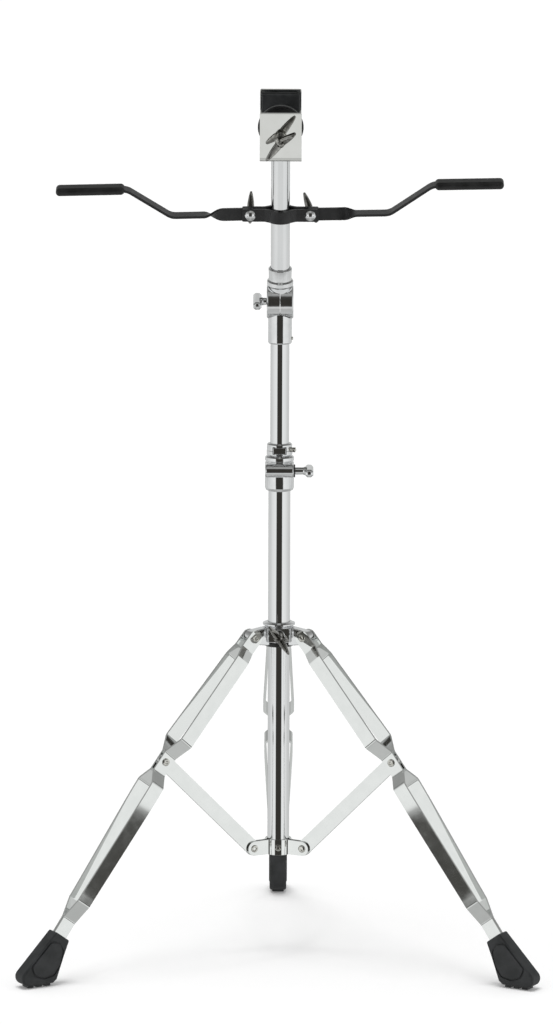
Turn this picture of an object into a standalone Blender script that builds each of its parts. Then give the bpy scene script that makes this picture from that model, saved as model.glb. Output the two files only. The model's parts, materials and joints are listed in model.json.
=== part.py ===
"""Bongo stand: a folding tripod with strip-steel legs, a ratchet tilter and a bongo clamp.

Metres, +Z up. The tubes stand on the line x = 0, y = AXIS_Y, and the viewer is at -Y.
The legs are named front_left, front_right and rear. Everything above the tilter leans
towards the viewer by TILT.
"""
import math

import bmesh
import bpy
from mathutils import Matrix, Vector

MM = 0.001
GAP = 0.3 * MM

# Tubes
BASE_RADIUS = 11.1 * MM
MIDDLE_RADIUS = 9.525 * MM
TUBE_WALL = 1.2 * MM
BASE_BOTTOM = 107.0 * MM
BASE_TOP = 497.0 * MM
MIDDLE_BOTTOM = 290.0 * MM

# Legs, as seen in the upright plane of one leg: distance from the tube's axis, height
COLLAR_PIVOT_R = 31.2 * MM
COLLAR_PIVOT_Z = 334.3 * MM
UPPER_ANGLE = math.radians(40.8)
UPPER_LENGTH = 157.1 * MM
LOWER_ANGLE = math.radians(36.0)
LOWER_LENGTH = 218.0 * MM
BRACKET_PIVOT_R = 29.9 * MM
BRACKET_PIVOT_Z = 113.7 * MM
LEG_AZIMUTH = {
    "front_left": math.radians(-150),
    "front_right": math.radians(-30),
    "rear": math.radians(90),
}
STRIP_WIDTH = 15.0 * MM
STRIP_THICKNESS = 2.2 * MM
BRACE_THICKNESS = 2.5 * MM
LUG_THICKNESS = 10.4 * MM
RIVET_RADIUS = 2.7 * MM
HEAD_OVERHANG = 1.3 * MM

# Boots
BOOT_THICKNESS = 18.0 * MM
BOOT_NECK_THICKNESS = 16.4 * MM
BOOT_NECK = 9.0 * MM
BOOT_GRIP = 13.0 * MM
BOOT_TREAD_IN = 268.0 * MM
BOOT_REACH = 301.0 * MM
TREAD_DEPTH = 2.6 * MM
TREAD_WIDTH = 12.5 * MM
TREAD_BAR = 6.5 * MM
TREAD_PITCH = 9.5 * MM

# The tube's axis lies ahead of the middle of the footprint, because one leg points back
AXIS_Y = -(BOOT_REACH / 2 - BOOT_THICKNESS / 2 * math.cos(math.radians(30))) / 2

# Leg collar
COLLAR_BOTTOM = 323.0 * MM
COLLAR_TOP = 348.0 * MM
COLLAR_RADIUS = 14.2 * MM
COLLAR_FLANGE_RADIUS = 16.4 * MM
COLLAR_SCREW_Z = 336.0 * MM

# Foot bracket, three stamped plates round the base tube
PLATE_THICKNESS = 2.0 * MM
PLATE_HALF_HEIGHT = 7.9 * MM
EAR_RADIUS = 7.3 * MM

# Height clamp on the base tube
CLAMP_BOTTOM = 483.5 * MM
CLAMP_TOP = 519.5 * MM
CLAMP_RADIUS = 14.6 * MM
BARREL_Z = 505.5 * MM
BARREL_FRONT = 13.2 * MM
BARREL_RADIUS = 6.8 * MM
BARREL_HALF = 14.3 * MM
CLAMP_BOLT_RADIUS = 3.5 * MM

# Cross bar of a T bolt
GRIP_LENGTH = 36.0 * MM
GRIP_WIDTH = 8.4 * MM
GRIP_HEIGHT = 8.0 * MM

# Memory lock
LOCK_BOTTOM = 520.0 * MM
LOCK_TOP = 532.2 * MM
LOCK_RADIUS = 13.0 * MM

# Tilter
PIVOT_Z = 677.0 * MM
TILT = math.radians(14.0)
TILTER_GRIP_TURN = math.radians(-10.0)
TILTER_BOLT_RADIUS = 3.0 * MM
DISC_RADIUS = 17.2 * MM
DISC_WIDTH = 13.4 * MM
SOCKET_BOTTOM = 634.3 * MM
SOCKET_RADIUS = 11.9 * MM
TUBE_RING_TOP = 37.0 * MM

# Bongo clamp, in heights above the tilter's pivot along the leaning axis
BRACKET_BOTTOM = 163.0 * MM
BRACKET_TOP = 215.0 * MM
BRACKET_WIDTH = 41.6 * MM
BRACKET_HALF_DEPTH = 36.5 * MM
BRACKET_THICKNESS = 2.5 * MM
JAW_SCREW_HEIGHT = (BRACKET_BOTTOM + BRACKET_TOP) / 2
JAW_SCREW_RADIUS = 4.0 * MM
JAW_DISC_RADIUS = 22.9 * MM
JAW_DISC_Y = -6.5 * MM

# Arm clamp and arms
ARM_CLAMP_HEIGHT = 94.5 * MM
ARM_CLAMP_TALL = 13.0 * MM
ARM_CLAMP_THICKNESS = 3.5 * MM
ARM_CLAMP_HALF_LENGTH = 38.5 * MM
ARM_PIVOT_X = 30.1 * MM
ARM_WIDTH = 13.0 * MM
ARM_THICKNESS = 2.6 * MM
ARM_LENGTH = 188.0 * MM
ARM_RISE = 29.5 * MM
ARM_BOLT_RADIUS = 3.0 * MM
SLEEVE_LENGTH = 69.0 * MM
SLEEVE_END = 194.5 * MM
SLEEVE_WIDTH = 17.0 * MM
SLEEVE_HEIGHT = 8.2 * MM
LEFT_ARM_DROP = math.radians(1.5)
RIGHT_ARM_LIFT = math.radians(1.2)
LEFT_NUT_LEAN = math.radians(2)
RIGHT_NUT_LEAN = math.radians(-22)

FINE_STEPS = 28
ROUND_STEPS = 20
HOLE_STEPS = 14
SMALL_STEPS = 10

FINISHES = {
    "chrome": ((0.82, 0.83, 0.84), 1.0, 0.08),
    "rivet": ((0.62, 0.60, 0.57), 1.0, 0.28),
    "black_steel": ((0.015, 0.015, 0.016), 0.0, 0.38),
    "rubber": ((0.028, 0.030, 0.031), 0.0, 0.62),
    "nylon": ((0.02, 0.02, 0.02), 0.0, 0.5),
}


def clear_scene():
    for obj in list(bpy.data.objects):
        bpy.data.objects.remove(obj, do_unlink=True)


def new_collection(name):
    made = bpy.data.collections.new(name)
    bpy.context.scene.collection.children.link(made)
    return made


clear_scene()
PARTS = new_collection("bongo_stand")
TOOLS = new_collection("cutters")


def give_finish(obj, finish):
    colour, metallic, roughness = FINISHES[finish]
    made = bpy.data.materials.new(obj.name + "_" + finish)
    made.use_nodes = True
    shader = made.node_tree.nodes["Principled BSDF"]
    shader.inputs["Base Color"].default_value = (*colour, 1.0)
    shader.inputs["Metallic"].default_value = metallic
    shader.inputs["Roughness"].default_value = roughness
    obj.data.materials.append(made)


def place(obj, parent, matrix):
    """Put a piece in its parent's frame."""
    obj.parent = parent
    obj.matrix_basis = matrix


def part(obj, finish, parent=None, matrix=Matrix()):
    """Make an object one of the stand's pieces."""
    PARTS.objects.link(obj)
    place(obj, parent, matrix)
    give_finish(obj, finish)
    return obj


def tool(obj, parent=None, matrix=Matrix()):
    """Make an object a hidden solid that cuts or joins."""
    TOOLS.objects.link(obj)
    place(obj, parent, matrix)
    obj.hide_render = True
    obj.display_type = "WIRE"
    return obj


def combine(obj, other, operation):
    step = obj.modifiers.new(operation.lower(), "BOOLEAN")
    step.operation = operation
    step.solver = "EXACT"
    step.object = other


def cut(obj, other):
    combine(obj, other, "DIFFERENCE")


def join(obj, other):
    combine(obj, other, "UNION")


def round_edges(obj, width, segments=1, angle=40):
    step = obj.modifiers.new("round_edges", "BEVEL")
    step.width = width
    step.segments = segments
    step.limit_method = "ANGLE"
    step.angle_limit = math.radians(angle)


def smooth(mesh, angle=35):
    mesh.shade_smooth()
    mesh.set_sharp_from_angle(angle=math.radians(angle))


def object_from_bmesh(name, bm):
    mesh = bpy.data.meshes.new(name)
    bm.to_mesh(mesh)
    bm.free()
    smooth(mesh)
    return bpy.data.objects.new(name, mesh)


def box(name, size, centre=(0, 0, 0)):
    bm = bmesh.new()
    bmesh.ops.create_cube(bm, size=1.0)
    bmesh.ops.scale(bm, vec=size, verts=bm.verts)
    bmesh.ops.translate(bm, vec=centre, verts=bm.verts)
    return object_from_bmesh(name, bm)


def cylinder(name, radius, low, high, steps=SMALL_STEPS):
    """A rod along local Z between two heights."""
    bm = bmesh.new()
    centre = Matrix.Translation((0, 0, (low + high) / 2))
    bmesh.ops.create_cone(
        bm, cap_ends=True, segments=steps, radius1=radius, radius2=radius,
        depth=high - low, matrix=centre,
    )
    return object_from_bmesh(name, bm)


def turned(name, profile, steps=ROUND_STEPS, closed=False):
    """A solid of revolution round local Z from (radius, height) pairs, top to bottom."""
    mesh = bpy.data.meshes.new(name)
    corners = [(radius, 0.0, height) for radius, height in profile]
    edges = [(i, i + 1) for i in range(len(profile) - 1)]
    if closed:
        edges.append((len(profile) - 1, 0))
    mesh.from_pydata(corners, edges, [])
    obj = bpy.data.objects.new(name, mesh)
    screw = obj.modifiers.new("turn", "SCREW")
    screw.axis = "Z"
    screw.steps = steps
    screw.render_steps = steps
    screw.use_merge_vertices = True
    screw.merge_threshold = 0.00001
    screw.use_smooth_shade = True
    return obj


def ring(name, inner, outer, low, high, steps=FINE_STEPS):
    """A plain sleeve round local Z."""
    profile = [(outer, high), (outer, low), (inner, low), (inner, high)]
    return turned(name, profile, steps, closed=True)


def flat_solid(name, outline, thickness):
    """An outline in local XY, extruded half its thickness each way, as a mesh."""
    curve = bpy.data.curves.new(name, "CURVE")
    curve.dimensions = "2D"
    curve.fill_mode = "BOTH"
    curve.extrude = thickness / 2
    spline = curve.splines.new("POLY")
    spline.points.add(len(outline) - 1)
    for point, (x, y) in zip(spline.points, outline):
        point.co = (x, y, 0.0, 1.0)
    spline.use_cyclic_u = True
    drawn = bpy.data.objects.new(name + "_outline", curve)
    TOOLS.objects.link(drawn)
    depsgraph = bpy.context.evaluated_depsgraph_get()
    mesh = bpy.data.meshes.new_from_object(drawn.evaluated_get(depsgraph))
    bpy.data.objects.remove(drawn, do_unlink=True)
    bm = bmesh.new()
    bm.from_mesh(mesh)
    bmesh.ops.remove_doubles(bm, verts=bm.verts, dist=0.00001)
    bmesh.ops.recalc_face_normals(bm, faces=bm.faces)
    bm.to_mesh(mesh)
    bm.free()
    mesh.name = name
    smooth(mesh)
    return bpy.data.objects.new(name, mesh)


def ribbon(name, edge_pairs, thickness):
    """A strip of sheet: a surface between two edges, given thickness on both sides."""
    bm = bmesh.new()
    rows = []
    for left, right in edge_pairs:
        rows.append((bm.verts.new(left), bm.verts.new(right)))
    for (a, b), (c, d) in zip(rows, rows[1:]):
        bm.faces.new((a, b, d, c))
    obj = object_from_bmesh(name, bm)
    sheet = obj.modifiers.new("sheet", "SOLIDIFY")
    sheet.thickness = thickness
    sheet.offset = 0.0
    sheet.use_even_offset = True
    return obj


def arc(centre, radius, start, end, steps):
    """Points on an arc between two angles in degrees."""
    points = []
    for i in range(steps + 1):
        angle = math.radians(start + (end - start) * i / steps)
        points.append((centre[0] + radius * math.cos(angle), centre[1] + radius * math.sin(angle)))
    return points


def filleted(points, radius, steps=1):
    """A 2D path with its inner corners rounded."""
    path = [Vector(points[0])]
    for before, corner, after in zip(points, points[1:], points[2:]):
        corner = Vector(corner)
        back = (Vector(before) - corner).normalized()
        ahead = (Vector(after) - corner).normalized()
        turn = math.pi - back.angle(ahead)
        reach = radius * math.tan(turn / 2)
        for i in range(steps + 1):
            t = i / steps
            start = corner + back * reach
            end = corner + ahead * reach
            path.append(start * (1 - t) ** 2 + corner * 2 * t * (1 - t) + end * t ** 2)
    path.append(Vector(points[-1]))
    return path


def across_y(angle=0.0):
    """Turn local Z to point along -Y, then roll about it."""
    return Matrix.Rotation(math.radians(90), 4, "X") @ Matrix.Rotation(angle, 4, "Z")


def along_x(sign=1):
    """Turn local Z to point along +X or -X."""
    return Matrix.Rotation(math.radians(90 * sign), 4, "Y")


def shifted(x=0.0, y=0.0, z=0.0):
    return Matrix.Translation((x, y, z))


def empty(name, parent, matrix):
    """An axis or a pivot that pieces hang from."""
    made = bpy.data.objects.new(name, None)
    PARTS.objects.link(made)
    made.empty_display_size = 0.02
    place(made, parent, matrix)
    return made


def rivet(name, half_grip):
    """A tubular rivet along local Z: a dome at the low end and a rolled rim at the high end."""
    head = RIVET_RADIUS + HEAD_OVERHANG
    low = -half_grip - GAP
    high = half_grip + GAP
    profile = [
        (0, high - 0.8 * MM), (1.3 * MM, high - 0.8 * MM), (1.6 * MM, high + 1.1 * MM),
        (head * 0.85, high + 0.9 * MM), (head, high), (RIVET_RADIUS, high),
        (RIVET_RADIUS, low), (head, low), (head * 0.6, low - 1.2 * MM), (0, low - 1.6 * MM),
    ]
    return turned(name, profile, SMALL_STEPS)


def wing_outline(hub_height, tip_x, tip_z, tip_radius):
    """Both wings of a wing screw in one outline, seen from the side."""
    right = [(0.0, 0.8 * MM), (3.0 * MM, 0.8 * MM)]
    right += arc((tip_x, tip_z), tip_radius, -50, 130, 6)
    right += [(4.2 * MM, hub_height * 0.8)]
    left = [(-x, z) for x, z in reversed(right[1:])]
    return right + left


def wing_fastener(name, finish, parent, matrix, shank_radius, shank_low, bore=0.0,
                  tip_x=16.5 * MM, tip_z=14.0 * MM):
    """A wing screw, or with a bore a wing nut. The hub sits at local Z = 0 and up."""
    hub = 5.0 * MM
    hub_height = 10.0 * MM
    profile = [(0, hub_height + 1.5 * MM), (2.6 * MM, hub_height + 1.2 * MM),
               (hub * 0.8, hub_height * 0.8), (hub, 2.0 * MM), (hub + 0.8 * MM, 0)]
    if shank_low < 0:
        profile += [(shank_radius, 0), (shank_radius, shank_low + 0.6 * MM),
                    (shank_radius - 0.6 * MM, shank_low)]
    profile += [(0, profile[-1][1])]
    screw = part(turned(name, profile, SMALL_STEPS), finish, parent, matrix)
    flat = flat_solid(name + "_wings", wing_outline(hub_height, tip_x, tip_z, 4.3 * MM), 3.4 * MM)
    round_edges(flat, 0.8 * MM, angle=75)
    wings = tool(flat, parent, matrix @ Matrix.Rotation(math.radians(90), 4, "X"))
    join(screw, wings)
    if bore > 0:
        hole = cylinder(name + "_bore", bore, -1 * MM, hub_height + 3 * MM)
        cut(screw, tool(hole, parent, matrix))
    return screw


def t_bolt(name, parent, matrix, shank_radius, shank_low, neck):
    """A bolt with a cross bar for a grip. Local Z = 0 is where the neck leaves the part."""
    bar_centre = neck + GRIP_WIDTH / 2
    profile = [(0, bar_centre + 3.0 * MM), (3.6 * MM, bar_centre + 2.0 * MM), (4.2 * MM, neck),
               (3.7 * MM, neck - 2.0 * MM), (3.7 * MM, 0), (shank_radius, 0),
               (shank_radius, shank_low), (0, shank_low)]
    bolt = part(turned(name, profile, SMALL_STEPS), "chrome", parent, matrix)
    bar = box(name + "_bar", (GRIP_HEIGHT, GRIP_LENGTH, GRIP_WIDTH), (0, 0, bar_centre))
    round_edges(bar, 2.2 * MM)
    join(bolt, tool(bar, parent, matrix))
    return bolt


def leg_direction(angle):
    """Down and outwards, at an angle from the vertical, in a leg's own frame."""
    return Vector((math.sin(angle), 0.0, -math.cos(angle)))


def leg_centre(along):
    """The middle line of a leg, measured from its upper pivot down to the boot."""
    upper = leg_direction(UPPER_ANGLE)
    if along <= UPPER_LENGTH:
        return upper * along
    return upper * UPPER_LENGTH + leg_direction(LOWER_ANGLE) * (along - UPPER_LENGTH)


def rounded_half_width(half, beyond):
    """Half a strip's width, so far beyond the centre of its round end."""
    return math.sqrt(max(half ** 2 - beyond ** 2, (0.3 * half) ** 2))


def round_end(half):
    """Distances beyond a round end's centre, from its tip inwards."""
    return [half * math.cos(math.radians(angle)) for angle in (0, 26, 48, 68, 90)]


def leg_strip(name, side, parent):
    """One of a leg's two strips, bowed away from its twin between collar, brace and boot."""
    end = UPPER_LENGTH + LOWER_LENGTH
    pinch = BRACE_THICKNESS / 2 + GAP + STRIP_THICKNESS / 2
    at_lug = LUG_THICKNESS / 2 + GAP + STRIP_THICKNESS / 2
    closed = STRIP_THICKNESS / 2 + 0.2 * MM
    bow = [
        (0.0, at_lug), (15 * MM, at_lug), (27 * MM, 10.6 * MM),
        (UPPER_LENGTH - 26 * MM, 15.0 * MM), (UPPER_LENGTH - 9 * MM, pinch),
        (UPPER_LENGTH + 13 * MM, pinch), (UPPER_LENGTH + 26 * MM, 13.0 * MM),
        (end - 52 * MM, 9.4 * MM), (end - 31 * MM, closed), (end, closed),
    ]
    half = STRIP_WIDTH / 2
    stations = [(-beyond, at_lug) for beyond in round_end(half)]
    stations += [tuple(point) for point in filleted(bow, 3.0 * MM)[1:]]
    pairs = []
    for along, out in stations:
        angle = UPPER_ANGLE if along < UPPER_LENGTH else LOWER_ANGLE
        width = rounded_half_width(half, max(-along, 0.0))
        inner = Vector((math.cos(angle), 0.0, math.sin(angle))) * width
        centre = leg_centre(along) + Vector((0.0, side * out, 0.0))
        pairs.append((centre - inner, centre + inner))
    strip = part(ribbon(name, pairs, STRIP_THICKNESS), "chrome", parent)
    for label, along in (("pivot", 0.0), ("joint", UPPER_LENGTH)):
        drill = cylinder(name + "_" + label + "_drill", RIVET_RADIUS + GAP, -20 * MM, 20 * MM)
        turn = Matrix.Translation(leg_centre(along)) @ across_y()
        cut(strip, tool(drill, parent, turn))
    return strip


def joint_rivet(name, side, parent):
    """The end of a joint rivet: its head and its grip in one strip."""
    inner = BRACE_THICKNESS / 2 + GAP
    outer = inner + STRIP_THICKNESS
    head = RIVET_RADIUS + HEAD_OVERHANG
    profile = [(0, outer + 1.8 * MM), (head * 0.6, outer + 1.5 * MM), (head, outer + GAP),
               (RIVET_RADIUS, outer + GAP), (RIVET_RADIUS, inner), (0, inner)]
    turn = Matrix.Translation(leg_centre(UPPER_LENGTH)) @ across_y()
    if side > 0:
        turn = turn @ Matrix.Rotation(math.pi, 4, "X")
    return part(turned(name, profile, SMALL_STEPS), "rivet", parent, turn)


def boot_corners(below_mouth):
    """The inner and outer corner of a cut square across a boot, in distance and height."""
    along = UPPER_LENGTH + LOWER_LENGTH - BOOT_GRIP + below_mouth
    middle = leg_centre(along) + Vector((COLLAR_PIVOT_R, 0, COLLAR_PIVOT_Z))
    slope = Vector((math.cos(LOWER_ANGLE), 0.0, math.sin(LOWER_ANGLE)))
    inner = middle - slope * (9.0 * MM + 0.25 * below_mouth)
    outer = middle + slope * (9.0 * MM + 0.12 * below_mouth)
    return (inner.x, inner.z), (outer.x, outer.z)


def boot_outline(below_mouth):
    """A boot from a cut down to its sole, in the plane of its leg."""
    inner, outer = boot_corners(below_mouth)
    outline = [inner, boot_corners(16 * MM)[0]]
    outline += [(BOOT_TREAD_IN - 6.5 * MM, 6.0 * MM), (BOOT_TREAD_IN - 2.0 * MM, TREAD_DEPTH)]
    outline += arc((BOOT_REACH - 8 * MM, TREAD_DEPTH + 8 * MM), 8 * MM, -90, 40, 4)
    outline += [outer]
    return outline


def side_panel_outline():
    """The raised panel on a boot's side: straight in front and round behind."""
    panel = [(287.5 * MM, 22.5 * MM), (265.5 * MM, 43.5 * MM)]
    panel += [(258.0 * MM, 41.0 * MM), (255.5 * MM, 32.5 * MM), (259.5 * MM, 20.0 * MM)]
    panel += [(266.0 * MM, 11.5 * MM), (276.0 * MM, 9.5 * MM), (285.0 * MM, 13.0 * MM)]
    return panel


def boot(name, parent):
    """A rubber boot pushed over the ends of a leg's two strips."""
    plane = shifted(-COLLAR_PIVOT_R, 0, -COLLAR_PIVOT_Z)
    origin = plane @ across_y()
    body = part(flat_solid(name, boot_outline(BOOT_NECK), BOOT_THICKNESS), "rubber", parent, origin)
    round_edges(body, 2.0 * MM, 2, angle=75)
    neck = flat_solid(name + "_neck", boot_outline(0.0), BOOT_NECK_THICKNESS)
    round_edges(neck, 1.2 * MM, angle=75)
    join(body, tool(neck, parent, origin))
    panel = flat_solid(name + "_panel", side_panel_outline(), BOOT_THICKNESS + 1.2 * MM)
    round_edges(panel, 0.5 * MM, angle=75)
    join(body, tool(panel, parent, origin))
    for bar in range(3):
        centre = (BOOT_TREAD_IN + TREAD_BAR / 2 + bar * TREAD_PITCH, 0.0, TREAD_DEPTH)
        tread = box(name + "_tread", (TREAD_BAR, TREAD_WIDTH, 2 * TREAD_DEPTH), centre)
        join(body, tool(tread, parent, plane))
    depth = 60 * MM
    slot = box(name + "_slot", (STRIP_WIDTH + 2 * GAP, 2 * STRIP_THICKNESS + 1.0 * MM, depth),
               (0, 0, -depth / 2))
    end = leg_centre(UPPER_LENGTH + LOWER_LENGTH + GAP)
    turn = Matrix.Translation(end) @ Matrix.Rotation(-LOWER_ANGLE, 4, "Y")
    cut(body, tool(slot, parent, turn @ shifted(z=depth)))
    return body


def brace(name, parent, length):
    """The flat strip from the foot bracket to the leg, with round ends."""
    half = STRIP_WIDTH / 2
    stations = [-beyond for beyond in round_end(half)]
    stations += [length + beyond for beyond in reversed(round_end(half))]
    pairs = []
    for along in stations:
        width = rounded_half_width(half, max(-along, along - length, 0.0))
        pairs.append(((-width, 0.0, along), (width, 0.0, along)))
    strip = part(ribbon(name, pairs, BRACE_THICKNESS), "chrome", parent)
    for label, along in (("low", 0.0), ("high", length)):
        drill = cylinder(name + "_" + label + "_drill", RIVET_RADIUS + GAP, -9 * MM, 9 * MM)
        cut(strip, tool(drill, parent, shifted(z=along) @ across_y()))
    return strip


def brace_vector():
    """From the foot bracket's pivot to the leg's joint, in the plane of the leg."""
    joint = leg_centre(UPPER_LENGTH) + Vector((COLLAR_PIVOT_R, 0.0, COLLAR_PIVOT_Z))
    return joint - Vector((BRACKET_PIVOT_R, 0.0, BRACKET_PIVOT_Z))


def make_leg(label, axis):
    """A leg, its brace, its boot and its rivets, hung from their pivots."""
    turn = Matrix.Rotation(LEG_AZIMUTH[label], 4, "Z")
    hip = empty("leg_pivot_" + label, axis, turn @ shifted(COLLAR_PIVOT_R, 0, COLLAR_PIVOT_Z))
    for side_name, side in (("a", -1), ("b", 1)):
        leg_strip("leg_strip_" + label + "_" + side_name, side, hip)
        joint_rivet("joint_rivet_" + label + "_" + side_name, side, hip)
    boot("boot_" + label, hip)
    pin = rivet("leg_rivet_" + label, LUG_THICKNESS / 2 + GAP + STRIP_THICKNESS)
    part(pin, "rivet", hip, across_y())
    reach = brace_vector()
    lean = Matrix.Rotation(math.atan2(reach.x, reach.z), 4, "Y")
    ankle = empty("brace_pivot_" + label, axis,
                  turn @ shifted(BRACKET_PIVOT_R, 0, BRACKET_PIVOT_Z) @ lean)
    brace("brace_" + label, ankle, reach.length)
    ear = BRACE_THICKNESS / 2 + GAP + PLATE_THICKNESS
    part(rivet("bracket_rivet_" + label, ear), "rivet", ankle, across_y())


def bracket_plate(name, azimuth, axis):
    """One of three plates wrapped round the base tube, with an ear on a leg at each side."""
    wrap = BASE_RADIUS + GAP + PLATE_THICKNESS / 2
    ear_offset = BRACE_THICKNESS / 2 + GAP + PLATE_THICKNESS / 2
    edge = math.degrees(math.asin(ear_offset / wrap))
    sixty = math.radians(60)
    ear = []
    for i in range(5):
        beyond = EAR_RADIUS * math.sin(math.radians(76 * i / 4))
        ear.append((BRACKET_PIVOT_R + beyond, math.sqrt(EAR_RADIUS ** 2 - beyond ** 2)))
    half = []
    for distance, tall in reversed(ear):
        spot = Vector((distance * math.cos(sixty) + ear_offset * math.sin(sixty),
                       distance * math.sin(sixty) - ear_offset * math.cos(sixty)))
        half.append((spot, tall))
    bend = wrap + 2.2 * MM
    spot = Vector((bend * math.cos(sixty) + ear_offset * math.sin(sixty),
                   bend * math.sin(sixty) - ear_offset * math.cos(sixty)))
    half.append((spot, PLATE_HALF_HEIGHT - 0.5 * MM))
    for spot in arc((0, 0), wrap, 60 - edge - 6, 0, 5):
        half.append((Vector(spot), PLATE_HALF_HEIGHT))
    mirrored = [(Vector((spot.x, -spot.y)), tall) for spot, tall in reversed(half[:-1])]
    pairs = []
    for spot, tall in half + mirrored:
        pairs.append(((spot.x, spot.y, -tall), (spot.x, spot.y, tall)))
    turn = Matrix.Rotation(math.radians(azimuth), 4, "Z") @ shifted(z=BRACKET_PIVOT_Z)
    plate = part(ribbon(name, pairs, PLATE_THICKNESS), "chrome", axis, turn)
    for side in (-1, 1):
        swing = Matrix.Rotation(side * sixty, 4, "Z")
        drill = cylinder(name + "_drill", RIVET_RADIUS + GAP, -9 * MM, 9 * MM)
        cut(plate, tool(drill, axis, turn @ swing @ shifted(BRACKET_PIVOT_R) @ across_y()))
    return plate


def make_foot_bracket(axis, base_tube):
    """The three plates and the screw that holds them to the tube."""
    front = bracket_plate("bracket_plate_front", -90, axis)
    bracket_plate("bracket_plate_left", 150, axis)
    bracket_plate("bracket_plate_right", 30, axis)
    face = BASE_RADIUS + GAP + PLATE_THICKNESS + GAP
    profile = [(0, face + 2.0 * MM), (1.8 * MM, face + 1.8 * MM), (3.3 * MM, face),
               (1.8 * MM, face), (1.8 * MM, face - 7 * MM), (0, face - 7 * MM)]
    turn = shifted(z=BRACKET_PIVOT_Z) @ across_y()
    part(turned("bracket_screw", profile, SMALL_STEPS), "rivet", axis, turn)
    drill = tool(cylinder("bracket_screw_drill", 1.8 * MM + GAP, 5 * MM, 20 * MM), axis, turn)
    cut(front, drill)
    cut(base_tube, drill)


def make_tubes(axis):
    base = ring("base_tube", BASE_RADIUS - TUBE_WALL, BASE_RADIUS, BASE_BOTTOM, BASE_TOP)
    part(base, "chrome", axis)
    inner = BASE_RADIUS - TUBE_WALL - GAP
    plug_top = BASE_BOTTOM + 3.6 * MM
    plug = [(0, plug_top), (inner, plug_top), (inner, BASE_BOTTOM - GAP),
            (BASE_RADIUS, BASE_BOTTOM - GAP), (BASE_RADIUS, BASE_BOTTOM - 1.6 * MM),
            (BASE_RADIUS - 1.2 * MM, BASE_BOTTOM - 2.6 * MM), (0, BASE_BOTTOM - 2.6 * MM)]
    part(turned("tube_plug", plug), "nylon", axis)
    return base


def lug_outline():
    """An ear of the leg collar, from inside its body out round a leg's pivot."""
    radius = 7.2 * MM
    outline = [(12.5 * MM, -9.5 * MM), (17.0 * MM, -9.5 * MM)]
    outline += arc((COLLAR_PIVOT_R, 0), radius, -80, 90, 7)
    outline += [(17.0 * MM, 9.0 * MM), (12.5 * MM, 9.0 * MM)]
    return outline


def make_collar(axis):
    """The sliding collar that the legs hang from, and its wing screw."""
    low, high = COLLAR_BOTTOM, COLLAR_TOP
    flange = COLLAR_FLANGE_RADIUS
    profile = [(0, high), (13.4 * MM, high), (flange, high - 1.4 * MM), (flange, high - 3.2 * MM),
               (COLLAR_RADIUS, high - 4.4 * MM), (COLLAR_RADIUS, low + 4.8 * MM),
               (15.2 * MM, low + 3.8 * MM), (15.2 * MM, low + 1.0 * MM), (14.2 * MM, low), (0, low)]
    collar = part(turned("leg_collar", profile), "chrome", axis)
    for label, azimuth in LEG_AZIMUTH.items():
        turn = Matrix.Rotation(azimuth, 4, "Z") @ shifted(z=COLLAR_PIVOT_Z)
        lug = flat_solid("lug_" + label, lug_outline(), LUG_THICKNESS)
        join(collar, tool(lug, axis, turn @ Matrix.Rotation(math.radians(90), 4, "X")))
        drill = cylinder("lug_drill_" + label, RIVET_RADIUS + GAP, -9 * MM, 9 * MM)
        cut(collar, tool(drill, axis, turn @ shifted(COLLAR_PIVOT_R) @ across_y()))
    turn = shifted(z=COLLAR_SCREW_Z) @ across_y()
    boss = cylinder("collar_boss", 6.2 * MM, 12.5 * MM, 20.5 * MM, HOLE_STEPS)
    join(collar, tool(boss, axis, turn))
    bore = cylinder("collar_bore", BASE_RADIUS + 0.35 * MM, low - 5 * MM, high + 5 * MM, FINE_STEPS)
    cut(collar, tool(bore, axis))
    cut(collar, tool(cylinder("collar_thread", 3.3 * MM + GAP, 5 * MM, 25 * MM), axis, turn))
    hub = 25.5 * MM
    tip = BASE_RADIUS + 0.35 * MM
    roll = math.radians(125.5)
    wing_fastener("collar_wing_screw", "chrome", axis,
                  shifted(y=-hub, z=COLLAR_SCREW_Z) @ across_y(roll), 3.3 * MM, tip - hub,
                  tip_x=13.5 * MM, tip_z=17.0 * MM)


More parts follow.
